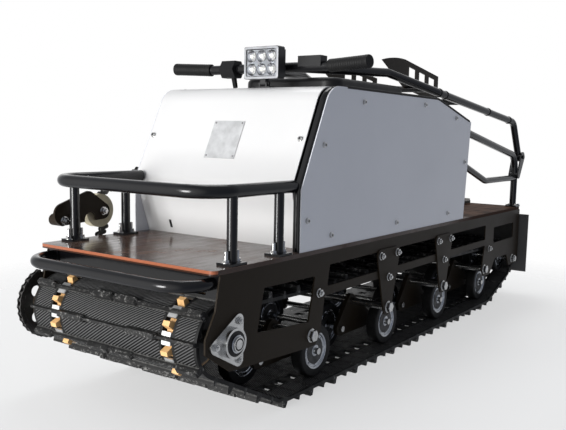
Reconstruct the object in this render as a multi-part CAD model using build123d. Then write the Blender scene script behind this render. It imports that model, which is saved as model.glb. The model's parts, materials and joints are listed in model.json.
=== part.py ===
"""Tracked snow tug: a plywood deck on two cut side plates, one wide rubber track
on rocker wheels, an engine under a sheet cowl, and a handlebar that folds forward.

Millimetres. +Z is up, the front faces -Y and +X is the left side of the machine.
While it is built, y = 0 is the deck's front edge and z = 0 the ground. At the end
everything is moved so that the origin is the middle of the footprint.
"""
from build123d import *
import math
import os

# Deck and its cross members
DECK_L = 1800.0
DECK_TOP = 355.0
DECK_T = 10.0
DECK_CORNER = 12.0
MEMBER_W = 40.0
MEMBER_H = 20.0
MEMBER_COUNT = 6
MEMBER_FIRST_Y = 80.0
MEMBER_LAST_SETBACK = 60.0

# Side plates
PLATE_T = 4.0
PLATE_SETBACK = 20.0
PLATE_CORNER = 5.0
PLATE_FOOT = 27.0
FOOT_HALF = 20.0
RAIL_TOP_H = 32.0
RAIL_LOW_Z = 241.0
RAIL_LOW_H = 21.0
FRONT_END = 55.0
NOSE_ROWS = (
    # y and z from the drive axis, down round the plate's nose
    (-42.0, 68.0),
    (-70.0, 18.0),
    (-70.0, -11.0),
    (2.0, -61.0),
)
FRONT_WINDOW_ROWS = (
    # y and z from the drive axis, clockwise from the upper front corner
    (110.0, 91.0),
    (302.0, 87.0),
    (278.0, -17.0),
    (88.0, -1.0),
)
REAR_NOTCH_ROWS = (
    # y from the last pivot and from the idler axle, with z from each axis
    (62.0, -27.0),
    (110.0, 25.0),
    (-62.0, 22.0),
    (-30.0, -24.0),
)
REAR_WINDOW_IN = 84.0
REAR_WINDOW_DROP = 15.0

# Track
TRACK_W = 500.0
TRACK_ROOM = 11.0
TRACK_PITCH = 52.5
BELT_T = 8.0
LUG_H = 15.0
LUG_BASE = 16.0
LUG_TIP = 9.0
WINDOW_L = 30.0
WINDOW_W = 28.0
WINDOW_IN = 79.0

# Drive sprockets and shaft
DRIVE_Y = 48.0
DRIVE_Z = 207.0
SPROCKET_TEETH = 9
SPROCKET_W = 18.0
TOOTH_PHASE = 154.0
TOOTH_L = 17.0
TOOTH_TIP_L = 10.0
TOOTH_REACH = 9.0
DRIVE_SHAFT_D = 30.0
SHAFT_ROOM = 4.0
SEAT_GAP = 0.3

# Road wheels, rockers and rear idler
WHEEL_D = 130.0
WHEEL_W = 32.0
DISC_D = 93.0
HUB_D = 34.0
DISH_DEPTH = 7.0
AXLE_D = 16.0
AXLE_FIT = 0.15
FIRST_PIVOT_Y = 337.0
LAST_PIVOT_SETBACK = 365.0
PIVOT_COUNT = 4
PIVOT_Z = 157.0
PIVOT_D = 20.0
TRAIL_REACH = 97.0
LEAD_REACH = 55.0
OUTER_WHEEL_IN = 48.5
INNER_WHEEL_IN = 150.0
ARM_IN = 100.0
ARM_T = 12.0
ARM_EYE_D = 40.0
NUT_REACH = 8.0
HANGER_SPREAD = 46.0
HANGER_PAD_R = 17.0
HANGER_EYE_R = 23.0
HANGER_PAD_DROP = 43.0
IDLER_Z = 158.0
IDLER_D = 110.0
IDLER_SETBACK = 62.0
IDLER_AXLE_D = 20.0
IDLER_AXLE_REACH = 16.0

# Chain drive on the right side
CHAIN_OUT = 30.0
CHAIN_W = 14.0
CHAIN_H = 13.0
CHAIN_WHEEL_R = 82.0
CHAIN_WHEEL_T = 7.0
WHEEL_HOLES = 5
WHEEL_HOLE_D = 26.0
WHEEL_HOLE_R = 52.0
OUTPUT_Y = 470.0
OUTPUT_Z = 545.0
OUTPUT_R = 32.0
OUTPUT_SHAFT_D = 25.0
ROLLER_Y = 189.0
ROLLER_Z = 415.0
ROLLER_D = 84.0
ROLLER_W = 24.0
ROLLER_BOLT_D = 14.0
ROLLER_COLLAR_D = 26.0
TENSIONER_T = 6.0
TENSIONER_Y = 100.0
TENSIONER_W = 28.0
TENSIONER_DROP = 45.0
ARM_ROWS = (
    # y and z from the roller's bolt and radius of the arm's front end, roller end and shoulder
    (-117.0, 0.0, 27.0),
    (0.0, 0.0, 20.0),
    (-45.0, 32.0, 20.0),
)
ARM_NOTCH = (-40.0, -18.0, 17.0)
ARM_PIVOT = (-117.0, -15.0)
ARM_PIVOT_D = 28.0
ARM_PIVOT_L = 35.0
BOSS_D = 62.0
BOSS_T = 18.0
FLANGE_T = 5.0
FLANGE_R = 74.0
FLANGE_CORNER = 14.0

# Front tubes
BUMPER_D = 25.0
BUMPER_Y = -60.0
BUMPER_Z = 326.0
BUMPER_BEND = 70.0
BRACKET_W = 34.0
BRACKET_H = 48.0
BRACKET_T = 6.0
RAIL_D = 28.0
RAIL_IN = 23.0
RAIL_Y = 12.0
RAIL_Z = 502.0
RAIL_BEND = 75.0
POST_D = 22.0
POST_Y = (80.0, 236.0)
POST_FLANGE_T = 5.0
POST_FLANGE_W = 40.0
POST_FLANGE_L = 48.0

# Cowl
COWL_IN = 1.0
PANEL_T = 2.5
HOOP_D = 25.0
HOOP_BEND = 60.0
COWL_FRONT = 288.0
COWL_KNEE_Z = 495.0
COWL_FOOT_Y = 334.0
COWL_BROW_Y = 398.0
COWL_TOP = 730.0
COWL_BREAK_Y = 992.0
COWL_REAR_TOP_Y = 1252.0
COWL_REAR_TOP_Z = 668.0
COWL_REAR_Y = 1222.0
COWL_SPLIT_Y = 476.0
SPLIT_GAP = 1.0
REAR_LIP = 6.0
TIE_D = 20.0
TIE_Y = (560.0, 940.0)
OUTPUT_ROOM = 5.0

# Engine under the cowl and the air box cover on top
ENGINE_W = 300.0
ENGINE_L = 400.0
ENGINE_Y = 430.0
ENGINE_ROOM = 70.0
COVER_X = 30.0
COVER_W = 300.0
COVER_Y = 545.0
COVER_L = 400.0
COVER_H = 33.0
COVER_CORNER = 40.0
COVER_EDGE = 12.0

# Rear arch
ARCH_D = 25.0
ARCH_TIE_D = 22.0
ARCH_POST_SETBACK = 22.0
ARCH_KNEE_Z = 552.0
ARCH_BEND = 60.0
ARCH_LOW_Z = 468.0
ARCH_LOW_SHARE = 0.4
ARCH_LOW_RISE = 72.0
ARCH_LOW_BEND = 90.0
ARCH_FLANGE = 44.0
EAR_T = 5.0
EAR_GAP = 28.0
EAR_R = 20.0
EAR_ROOT_R = 13.0
EAR_ROOT_Z = 478.0

# Handlebar, folded forward
FOLD_SETBACK = 36.0
FOLD_Z = 548.0
FOLD_PIN_D = 14.0
FOLD_EYE_D = 36.0
FOLD_EYE_W = 26.0
PIN_FIT = 0.05
BAR_D = 25.0
BAR_BEND = 45.0
BAR_Y = 505.0
BAR_Z = 785.0
GRIP_HALF = 310.0
GRIP_SWEEP = 17.0
GRIP_RISE = 5.0
GRIP_L = 118.0
GRIP_D = 33.0
GRIP_END_T = 3.0
BAR_KNEE_IN = 125.0
STEM_IN = 228.0
STEM_ROWS = (
    # outward from the stem's front end, y and z of its bends, front to rear
    (68.0, 880.0, 800.0),
    (123.0, 1110.0, 757.0),
)
ELBOW_AHEAD = 84.0
ELBOW_Z = 682.0
BRIDGE_D = 20.0
BRIDGE_Y = (1065.0, 1285.0)
CONTROL_W = 46.0
CONTROL_R = 26.0
CONTROL_GAP = 38.0
SWITCH_L = 68.0
SWITCH_GAP = 13.0
SWITCH_W = 30.0
SWITCH_H = 26.0
LEVER_T = 10.0
LEVER_ROWS = (
    # y and z from the bar's axis
    (2.0, -12.0),
    (14.0, -12.0),
    (21.0, -46.0),
    (14.0, -48.0),
)
CONSOLE_X = 120.0
CONSOLE_T = 4.0
CONSOLE_H = 88.0
CONSOLE_LIP = 14.0
CONSOLE_WINDOWS = 3
CONSOLE_WINDOW_L = 48.0
CONSOLE_WINDOW_H = 46.0
CONSOLE_WINDOW_Z = 26.0
SCOOP_L = 150.0
SCOOP_RISE = 34.0

# Lamp
LAMP_X = 30.0
LAMP_W = 108.0
LAMP_H = 80.0
LAMP_BODY = 22.0
LAMP_FIN_L = 12.0
LAMP_FIN_T = 4.0
LAMP_FINS = 7
LAMP_BEZEL = 6.0
LAMP_CORNER = 5.0
LAMP_FACE_Y = 436.0
LAMP_FOOT_Z = 752.0
LAMP_PIVOT_Z = 742.0
LAMP_EAR_R = 7.0
LAMP_EAR_T = 4.0
LAMP_TONGUE_W = 16.0
LAMP_BOLT_D = 8.0
LENS_T = 4.0

# Mud flap and tow tongue
FLAP_T = 5.0
FLAP_OUT = 30.0
FLAP_ROOM = 9.0
FLAP_SHOULDER = 22.0
FLAP_BOTTOM_Z = 95.0
FLAP_BEND = 20.0
TONGUE_T = 10.0
TONGUE_W = 120.0
TONGUE_NOSE_R = 32.0
TONGUE_REACH = 60.0
TONGUE_ROOT = 110.0
TOW_PIN_D = 16.5


def plate_x(face, x_start, thickness):
    """Extrude a face drawn in (y, z) from x_start along +X."""
    return extrude(Plane.YZ.offset(x_start) * face, thickness)


def yz_solid(points, x_start, thickness):
    """Extrude a closed (y, z) polygon from x_start along +X."""
    return plate_x(make_face(Polyline(*points, close=True)), x_start, thickness)


def block(x_range, y_range, z_range):
    """A box from its three ranges."""
    low, high = zip(x_range, y_range, z_range)
    size = [b - a for a, b in zip(low, high)]
    middle = [(a + b) / 2 for a, b in zip(low, high)]
    return Pos(*middle) * Box(*size)


def rod_x(y, z, x_start, x_end, diameter):
    """A round bar along X."""
    place = Pos((x_start + x_end) / 2, y, z) * Rot(0, 90, 0)
    return place * Cylinder(diameter / 2, abs(x_end - x_start))


def rod_between(start, end, diameter):
    """A round bar from one point to another."""
    return bent_tube([start, end], 0, diameter)


def post_z(x, y, z_start, z_end, diameter):
    """A round bar along Z."""
    return Pos(x, y, (z_start + z_end) / 2) * Cylinder(diameter / 2, z_end - z_start)


def bent_tube(points, bend, diameter):
    """A round tube along straight runs with one bend radius."""
    path = FilletPolyline(*points, radius=bend) if len(points) > 2 else Line(*points)
    return sweep(Plane(path @ 0, z_dir=path % 0) * Circle(diameter / 2), path=path)


def ring_x(x, y, z, outer_d, inner_d, width):
    """A ring about the X direction, centred on x."""
    ring = Cylinder(outer_d / 2, width) - Cylinder(inner_d / 2, width)
    return Pos(x, y, z) * Rot(0, 90, 0) * ring


def between(start, end, share):
    """A point at a share of the way from start to end."""
    return tuple(a + (b - a) * share for a, b in zip(start, end))


def belt_path(wheels, offset):
    """Straight runs and arcs round (y, z, radius) wheels, taken anticlockwise.

    A wheel with a negative radius is passed on its other side. Gives one row for
    each wheel: centre, radius with the offset, start angle and turned angle.
    """
    normals = []
    for (y0, z0, r0), (y1, z1, r1) in zip(wheels, wheels[1:] + wheels[:1]):
        run = math.hypot(y1 - y0, z1 - z0)
        along = ((y1 - y0) / run, (z1 - z0) / run)
        lean = (r0 - r1) / run
        side = math.sqrt(1 - lean * lean)
        normals.append(math.atan2(lean * along[1] - side * along[0],
                                  lean * along[0] + side * along[1]))
    rows = []
    for index, (y, z, radius) in enumerate(wheels):
        start, end = normals[index - 1], normals[index]
        if radius > 0:
            turn = (end - start) % math.tau
        else:
            turn = -((start - end) % math.tau)
        rows.append((y, z, radius + offset, start, turn))
    return rows


def on_arc(row, share):
    """A (y, z) point on an arc row, share 0 to 1 along it."""
    y, z, radius, start, turn = row
    angle = start + turn * share
    return y + radius * math.cos(angle), z + radius * math.sin(angle)


def belt_face(wheels, offset):
    """The region inside a belt path, as a face in the YZ plane."""
    rows = belt_path(wheels, offset)
    edges = []
    for row, after in zip(rows, rows[1:] + rows[:1]):
        edges.append(ThreePointArc(on_arc(row, 0), on_arc(row, 0.5), on_arc(row, 1)))
        edges.append(Line(on_arc(row, 1), on_arc(after, 0)))
    return make_face(Wire(edges))


def belt_length(wheels, offset):
    """Length of a belt path."""
    rows = belt_path(wheels, offset)
    total = 0.0
    for row, after in zip(rows, rows[1:] + rows[:1]):
        total += abs(row[2] * row[4])
        total += math.dist(on_arc(row, 1), on_arc(after, 0))
    return total


def belt_stations(wheels, offset, origin, pitch, count):
    """Points (y, z, normal angle) at even steps, from a length along the path."""
    rows = belt_path(wheels, offset)
    spans = []
    for row, after in zip(rows, rows[1:] + rows[:1]):
        spans.append((abs(row[2] * row[4]), row, None))
        spans.append((math.dist(on_arc(row, 1), on_arc(after, 0)), row, on_arc(after, 0)))
    total = sum(span[0] for span in spans)
    stations = []
    for step in range(count):
        rest = (origin + step * pitch) % total
        for length, row, goal in spans:
            if rest <= length:
                break
            rest -= length
        share = rest / length
        if goal is None:
            point = on_arc(row, share)
            angle = row[3] + row[4] * share
        else:
            point = between(on_arc(row, 1), goal, share)
            angle = row[3] + row[4]
        stations.append((*point, angle))
    return stations


def inset_line(line, inset):
    """An open line of (y, z) points moved inwards, to the right of its run."""
    moved = []
    for index, point in enumerate(line):
        sides = []
        for a, b in ((index - 1, index), (index, index + 1)):
            if 0 <= a and b < len(line):
                run = math.dist(line[a], line[b])
                sides.append(((line[b][1] - line[a][1]) / run, -(line[b][0] - line[a][0]) / run))
        normal = [sum(side[i] for side in sides) / len(sides) for i in (0, 1)]
        size = normal[0] ** 2 + normal[1] ** 2
        moved.append(tuple(p + inset * n / size for p, n in zip(point, normal)))
    return moved


def folded_sheet(line, bend, thickness, x_range):
    """A sheet of even thickness folded along a (y, z) line that is its outer face."""
    outer = FilletPolyline(*line, radius=bend)
    inner = FilletPolyline(*inset_line(line, thickness), radius=bend - thickness)
    face = make_face(Wire([*outer.edges(), Line(outer @ 1, inner @ 1),
                           *inner.edges(), Line(inner @ 0, outer @ 0)]))
    return plate_x(face, x_range[0], x_range[1] - x_range[0])


parts = {}
half_track = TRACK_W / 2
half_deck = half_track + TRACK_ROOM + PLATE_T
window_x = half_track - WINDOW_IN
outer_wheel_x = half_track - OUTER_WHEEL_IN
inner_wheel_x = half_track - INNER_WHEEL_IN
arm_x = half_track - ARM_IN
deck_under = DECK_TOP - DECK_T
plate_inner = half_deck - PLATE_T
wheel_z = LUG_H + BELT_T + WHEEL_D / 2
drive_inner_r = TRACK_PITCH * SPROCKET_TEETH / math.tau - BELT_T / 2
pivot_spacing = (DECK_L - LAST_PIVOT_SETBACK - FIRST_PIVOT_Y) / (PIVOT_COUNT - 1)
pivots = [FIRST_PIVOT_Y + pivot_spacing * index for index in range(PIVOT_COUNT)]


def track_wheels(idler_y):
    """The four wheels that shape the track, anticlockwise from the drive."""
    return [
        (DRIVE_Y, DRIVE_Z, drive_inner_r),
        (pivots[0] - LEAD_REACH, wheel_z, WHEEL_D / 2),
        (pivots[-1] + TRAIL_REACH, wheel_z, WHEEL_D / 2),
        (idler_y, IDLER_Z, IDLER_D / 2),
    ]


def tight_idler_y(count):
    """The idler place that takes up a track of that many pitches, found by halving."""
    low, high = pivots[-1] + TRAIL_REACH, pivots[-1] + DECK_L
    for _ in range(60):
        middle = (low + high) / 2
        if belt_length(track_wheels(middle), BELT_T / 2) < TRACK_PITCH * count:
            low = middle
        else:
            high = middle
    return low


wanted_loop = track_wheels(DECK_L - IDLER_SETBACK)
track_count = round(belt_length(wanted_loop, BELT_T / 2) / TRACK_PITCH)
idler_y = tight_idler_y(track_count)
loop = track_wheels(idler_y)

# Deck, cross members and side plates
deck = block((-half_deck, half_deck), (0, DECK_L), (deck_under, DECK_TOP))
parts["deck"] = fillet(deck.edges().filter_by(Axis.Z), DECK_CORNER)
member_step = (DECK_L - MEMBER_LAST_SETBACK - MEMBER_FIRST_Y) / (MEMBER_COUNT - 1)
member_rows = [MEMBER_FIRST_Y + member_step * index for index in range(MEMBER_COUNT)]
parts["cross_members"] = Compound([
    block((-plate_inner, plate_inner), (y - MEMBER_W / 2, y + MEMBER_W / 2),
          (deck_under - MEMBER_H, deck_under))
    for y in member_rows
])


def side_plate(x_start):
    """A cut side plate: front and rear sections joined by two long rails."""
    front_end = pivots[0] + FRONT_END
    rear_start = pivots[-1]
    rail_under = deck_under - RAIL_TOP_H
    rail_low_top = RAIL_LOW_Z + RAIL_LOW_H
    foot_z = PIVOT_Z - PLATE_FOOT
    pivot_notch = [(pivots[-1] + y, PIVOT_Z + z) for y, z in REAR_NOTCH_ROWS[:2]]
    idler_notch = [(idler_y + y, IDLER_Z + z) for y, z in REAR_NOTCH_ROWS[2:]]
    outline = [
        (PLATE_SETBACK, deck_under),
        *[(DRIVE_Y + y, DRIVE_Z + z) for y, z in NOSE_ROWS],
        (pivots[0] - FOOT_HALF, foot_z), (pivots[0] + FOOT_HALF, foot_z),
        (pivots[0] + 2 * FOOT_HALF, PIVOT_Z), (front_end, RAIL_LOW_Z),
        (rear_start, RAIL_LOW_Z), (rear_start - FOOT_HALF, PIVOT_Z),
        (rear_start, foot_z), *pivot_notch, *idler_notch,
        (DECK_L, IDLER_Z - FOOT_HALF), (DECK_L, deck_under),
    ]
    windows = [
        [(DRIVE_Y + y, DRIVE_Z + z) for y, z in FRONT_WINDOW_ROWS],
        [(front_end + FOOT_HALF, rail_under), (rear_start, rail_under),
         (rear_start, rail_low_top), (front_end + FOOT_HALF / 2, rail_low_top)],
        [(rear_start + REAR_WINDOW_IN, rail_under - REAR_WINDOW_DROP),
         (idler_y, rail_under - REAR_WINDOW_DROP),
         (idler_y, RAIL_LOW_Z), (rear_start + REAR_WINDOW_IN, RAIL_LOW_Z)],
    ]
    plate = yz_solid(outline, x_start, PLATE_T)
    for window in windows:
        plate -= yz_solid(window, x_start, PLATE_T)
    plate = fillet(plate.edges().filter_by(Axis.X), PLATE_CORNER)
    bores = [(DRIVE_Y, DRIVE_Z, DRIVE_SHAFT_D + 2 * SHAFT_ROOM), (idler_y, IDLER_Z, IDLER_AXLE_D),
             (pivots[0], PIVOT_Z, PIVOT_D), (pivots[-1], PIVOT_Z, PIVOT_D)]
    for y, z, diameter in bores:
        plate -= rod_x(y, z, x_start, x_start + PLATE_T, diameter)
    return plate


parts["side_plate_left"] = side_plate(plate_inner)
parts["side_plate_right"] = side_plate(-half_deck)


def hanger(side, y):
    """A tapered hanger bolted outside the plate, with a pivot eye."""
    x_start = half_deck if side > 0 else -half_deck - PLATE_T
    pad_z = deck_under - HANGER_PAD_DROP
    face = belt_face([(y, PIVOT_Z, HANGER_EYE_R), (y + HANGER_SPREAD, pad_z, HANGER_PAD_R),
                      (y - HANGER_SPREAD, pad_z, HANGER_PAD_R)], 0)
    return plate_x(face - Pos(y, PIVOT_Z) * Circle(PIVOT_D / 2), x_start, PLATE_T)


parts["hangers"] = Compound([
    hanger(side, y) for side in (1, -1) for y in pivots[1:-1]
])


def rocker_arm(side, y):
    """A three-eyed arm: leading axle, trailing axle and the pivot above them."""
    eyes = [(y - LEAD_REACH, wheel_z, AXLE_D), (y + TRAIL_REACH, wheel_z, AXLE_D),
            (y, PIVOT_Z, PIVOT_D)]
    face = belt_face([(eye_y, eye_z, ARM_EYE_D / 2) for eye_y, eye_z, _ in eyes], 0)
    for eye_y, eye_z, bore in eyes:
        face -= Pos(eye_y, eye_z) * Circle(bore / 2)
    return plate_x(face, side * arm_x - ARM_T / 2, ARM_T)


def disc_wheel(x, y, z, diameter, bore):
    """A dished disc wheel with a bonded rubber tyre, turned about X."""
    half, rim_r, hub_r = WHEEL_W / 2, min(DISC_D, diameter - HUB_D / 2) / 2, HUB_D / 2
    seat = half - DISH_DEPTH
    tyre_r = diameter / 2 - SEAT_GAP
    bore_r = bore / 2 + AXLE_FIT
    right = [(seat, bore_r), (seat, hub_r), (half, rim_r), (half, tyre_r)]
    left = [(-x_at, r) for x_at, r in reversed(right)]
    profile = make_face(Polyline(*right, *left, close=True))
    return Pos(x, y, z) * revolve(profile, axis=Axis.X)


wheel_places = [
    place for y in pivots for side in (1, -1)
    for place in ((side * outer_wheel_x, y + TRAIL_REACH), (side * inner_wheel_x, y - LEAD_REACH))
]
parts["rocker_arms"] = Compound([
    rocker_arm(side, y) for y in pivots for side in (1, -1)
])
pivot_end = half_deck + PLATE_T + NUT_REACH
parts["rocker_pivot_shafts"] = Compound([
    rod_x(y, PIVOT_Z, -pivot_end, pivot_end, PIVOT_D) for y in pivots
])
trail_end = outer_wheel_x + WHEEL_W / 2 + NUT_REACH
lead_end = arm_x + ARM_T / 2 + NUT_REACH
axle_rows = [row for y in pivots for row in ((y + TRAIL_REACH, trail_end), (y - LEAD_REACH, lead_end))]
parts["road_wheel_axles"] = Compound([
    rod_x(y, wheel_z, -end, end, AXLE_D) for y, end in axle_rows
])
parts["road_wheels"] = Compound([
    disc_wheel(x, y, wheel_z, WHEEL_D, AXLE_D) for x, y in wheel_places
])
idler_end = half_deck + IDLER_AXLE_REACH
parts["rear_idler_axle"] = rod_x(idler_y, IDLER_Z, -idler_end, idler_end, IDLER_AXLE_D)
parts["rear_idler_wheels"] = Compound([
    disc_wheel(x, idler_y, IDLER_Z, IDLER_D, IDLER_AXLE_D)
    for x in (outer_wheel_x, inner_wheel_x, -inner_wheel_x, -outer_wheel_x)
])

# Track: one loop with its lugs in its outline and two rows of drive windows
drive_row = belt_path(loop, BELT_T / 2)[0]
window_origin = drive_row[2] * (math.radians(TOOTH_PHASE) - drive_row[3])
lug_origin = window_origin + TRACK_PITCH / 2


def lug_outline(y, z, angle):
    """A tapered lug on the belt's outer side, sunk a little into the belt."""
    out = (math.cos(angle), math.sin(angle))
    along = (-out[1], out[0])

    def at(length, height):
        return tuple(c + a * length + o * height for c, a, o in zip((y, z), along, out))

    foot, tip = -BELT_T / 4, BELT_T / 2 + LUG_H
    return make_face(Polyline(
        at(-LUG_BASE / 2, foot), at(LUG_BASE / 2, foot), at(LUG_TIP / 2, tip), at(-LUG_TIP / 2, tip),
        close=True))


def track():
    """The belt ring with lugs, cut by the two rows of windows."""
    lugs = [lug_outline(*station) for station in
            belt_stations(loop, BELT_T / 2, lug_origin, TRACK_PITCH, track_count)]
    ring = belt_face(loop, BELT_T).fuse(*lugs) - belt_face(loop, 0)
    belt = plate_x(ring, -half_track, TRACK_W)
    cuts = []
    for y, z, angle in belt_stations(loop, BELT_T / 2, window_origin, TRACK_PITCH, track_count):
        for side in (1, -1):
            place = Pos(side * window_x, y, z) * Rot(math.degrees(angle) - 90, 0, 0)
            cuts.append(place * Box(WINDOW_W, WINDOW_L, 3 * BELT_T))
    return belt.cut(*cuts)


parts["track"] = track()


def drive_sprocket(x):
    """A drum with teeth that come up through the track's windows."""
    wheel = Circle(drive_inner_r - SEAT_GAP)
    tip = drive_inner_r + BELT_T + TOOTH_REACH
    foot = drive_inner_r - BELT_T
    tooth = make_face(Polyline((foot, -TOOTH_L / 2), (drive_inner_r, -TOOTH_L / 2),
                               (tip, -TOOTH_TIP_L / 2), (tip, TOOTH_TIP_L / 2),
                               (drive_inner_r, TOOTH_L / 2), (foot, TOOTH_L / 2), close=True))
    for index in range(SPROCKET_TEETH):
        wheel += Rot(0, 0, TOOTH_PHASE + 360 / SPROCKET_TEETH * index) * tooth
    wheel -= Circle(DRIVE_SHAFT_D / 2)
    solid = extrude(Plane.YZ * wheel, SPROCKET_W)
    return Pos(x - SPROCKET_W / 2, DRIVE_Y, DRIVE_Z) * solid


def bearing_flange(side):
    """A three-bolt triangular flange with a round bearing boss."""
    x_start = half_deck if side > 0 else -half_deck - FLANGE_T
    third = math.tau / 3
    corners = [(DRIVE_Y + FLANGE_R * math.cos(third / 2 + third * index),
                DRIVE_Z + FLANGE_R * math.sin(third / 2 + third * index)) for index in range(3)]
    flange = fillet(yz_solid(corners, x_start, FLANGE_T).edges().filter_by(Axis.X), FLANGE_CORNER)
    ends = (side * half_deck, side * (half_deck + BOSS_T))
    flange += rod_x(DRIVE_Y, DRIVE_Z, *ends, BOSS_D)
    return flange - rod_x(DRIVE_Y, DRIVE_Z, *ends, DRIVE_SHAFT_D)


chain_x = -half_deck - CHAIN_OUT
parts["drive_sprockets"] = Compound([
    drive_sprocket(side * window_x) for side in (1, -1)
])
parts["drive_shaft"] = rod_x(
    DRIVE_Y, DRIVE_Z, chain_x - CHAIN_W, half_deck + BOSS_T + NUT_REACH, DRIVE_SHAFT_D)
parts["bearing_flange_left"] = bearing_flange(1)
parts["bearing_flange_right"] = bearing_flange(-1)

# Chain drive: chain wheel on the drive shaft, output sprocket, roller on a tensioner arm
chain_wheels = [
    (DRIVE_Y, DRIVE_Z, CHAIN_WHEEL_R),
    (OUTPUT_Y, OUTPUT_Z, OUTPUT_R),
    (ROLLER_Y, ROLLER_Z, -(ROLLER_D / 2 + CHAIN_H / 2 + SEAT_GAP)),
]
chain_ring = belt_face(chain_wheels, CHAIN_H / 2) - belt_face(chain_wheels, -CHAIN_H / 2)
parts["drive_chain"] = plate_x(chain_ring, chain_x - CHAIN_W / 2, CHAIN_W)


def chain_wheel():
    """A drilled disc inside the chain, with a hub that reaches the bearing boss."""
    seat_d = 2 * (CHAIN_WHEEL_R - CHAIN_H / 2 - SEAT_GAP)
    disc = ring_x(chain_x, DRIVE_Y, DRIVE_Z, seat_d, DRIVE_SHAFT_D, CHAIN_WHEEL_T)
    for index in range(WHEEL_HOLES):
        turn = math.tau * index / WHEEL_HOLES
        disc -= rod_x(DRIVE_Y + WHEEL_HOLE_R * math.cos(turn), DRIVE_Z + WHEEL_HOLE_R * math.sin(turn),
                      chain_x - CHAIN_WHEEL_T, chain_x + CHAIN_WHEEL_T, WHEEL_HOLE_D)
    disc_face = chain_x + CHAIN_WHEEL_T / 2
    boss_face = -half_deck - BOSS_T - SEAT_GAP
    return disc + ring_x((disc_face + boss_face) / 2, DRIVE_Y, DRIVE_Z, BOSS_D, DRIVE_SHAFT_D,
                         boss_face - disc_face)


def tensioner_bracket():
    """An upright bolted to the deck's right edge and the side plate."""
    y_range = (TENSIONER_Y - TENSIONER_W / 2, TENSIONER_Y + TENSIONER_W / 2)
    return block((-half_deck - TENSIONER_T, -half_deck), y_range, (DECK_TOP - TENSIONER_DROP, ROLLER_Z))


def tensioner_arm():
    """A hooked plate from its pivot tube to the roller, with collar and bolt."""
    face = belt_face([(ROLLER_Y + y, ROLLER_Z + z, radius) for y, z, radius in ARM_ROWS], 0)
    notch_y, notch_z, notch_r = ARM_NOTCH
    face -= Pos(ROLLER_Y + notch_y, ROLLER_Z + notch_z) * Circle(notch_r)
    outer = -half_deck - 2 * TENSIONER_T
    roller_inner = chain_x + ROLLER_W / 2
    arm = plate_x(face, outer, TENSIONER_T)
    arm += rod_x(ROLLER_Y + ARM_PIVOT[0], ROLLER_Z + ARM_PIVOT[1], outer - ARM_PIVOT_L, outer, ARM_PIVOT_D)
    arm += rod_x(ROLLER_Y, ROLLER_Z, roller_inner, outer, ROLLER_COLLAR_D)
    return arm + rod_x(ROLLER_Y, ROLLER_Z, chain_x - ROLLER_W / 2 - NUT_REACH, outer, ROLLER_BOLT_D)


parts["chain_wheel"] = chain_wheel()
output_seat_d = 2 * (OUTPUT_R - CHAIN_H / 2 - SEAT_GAP)
parts["output_sprocket"] = ring_x(
    chain_x, OUTPUT_Y, OUTPUT_Z, output_seat_d, OUTPUT_SHAFT_D, CHAIN_WHEEL_T)
parts["output_shaft"] = rod_x(
    OUTPUT_Y, OUTPUT_Z, chain_x - CHAIN_W, -ENGINE_W / 2, OUTPUT_SHAFT_D)
parts["tensioner_roller"] = ring_x(
    chain_x, ROLLER_Y, ROLLER_Z, ROLLER_D, ROLLER_BOLT_D, ROLLER_W)
parts["tensioner_bracket"] = tensioner_bracket()
parts["tensioner_arm"] = tensioner_arm()


def front_bumper():
    """A U-shaped tube under the deck's front, through two bracket plates."""
    x = plate_inner - BRACKET_W / 2 - SEAT_GAP
    end = member_rows[0] - MEMBER_W / 2
    tube = bent_tube([(-x, end, BUMPER_Z), (-x, BUMPER_Y, BUMPER_Z),
                      (x, BUMPER_Y, BUMPER_Z), (x, end, BUMPER_Z)], BUMPER_BEND, BUMPER_D)
    for side in (1, -1):
        tube += block((side * x - BRACKET_W / 2, side * x + BRACKET_W / 2),
                      (PLATE_SETBACK, PLATE_SETBACK + BRACKET_T), (deck_under - BRACKET_H, deck_under))
    return tube


def front_rail():
    """A U-shaped rail on four flanged posts, open towards the cowl."""
    rail_x = half_deck - RAIL_IN
    end = COWL_FRONT - SEAT_GAP
    rail = bent_tube([(-rail_x, end, RAIL_Z), (-rail_x, RAIL_Y, RAIL_Z),
                      (rail_x, RAIL_Y, RAIL_Z), (rail_x, end, RAIL_Z)], RAIL_BEND, RAIL_D)
    for y in POST_Y:
        for x in (rail_x, -rail_x):
            rail += post_z(x, y, DECK_TOP, RAIL_Z, POST_D)
            rail += block((x - POST_FLANGE_W / 2, x + POST_FLANGE_W / 2),
                          (y - POST_FLANGE_L / 2, y + POST_FLANGE_L / 2),
                          (DECK_TOP, DECK_TOP + POST_FLANGE_T))
    return rail


parts["front_bumper"] = front_bumper()
parts["front_rail"] = front_rail()

# Cowl: the left hoop shows at the corner, the right one is behind the sheets
cowl_half = half_deck - COWL_IN
cowl_side_line = [
    (COWL_FRONT, DECK_TOP), (COWL_FRONT, COWL_KNEE_Z), (COWL_BROW_Y, COWL_TOP),
    (COWL_BREAK_Y, COWL_TOP), (COWL_REAR_TOP_Y, COWL_REAR_TOP_Z), (COWL_REAR_Y, DECK_TOP),
]
cowl_front_line = [(COWL_FOOT_Y, DECK_TOP), (COWL_FRONT, COWL_KNEE_Z), (COWL_BROW_Y, COWL_TOP)]
hoop_x = cowl_half - PANEL_T - HOOP_D / 2
panel_range = (PANEL_T + SEAT_GAP - cowl_half, hoop_x - HOOP_D / 2 - SEAT_GAP)


def cowl_side(x_start):
    """A flat side sheet with a rounded brow."""
    sheet = yz_solid(cowl_side_line, x_start, PANEL_T)
    brow = sheet.edges().filter_by(Axis.X).sort_by_distance((x_start, COWL_BROW_Y, COWL_TOP))[0]
    return fillet(brow, HOOP_BEND)


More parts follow.
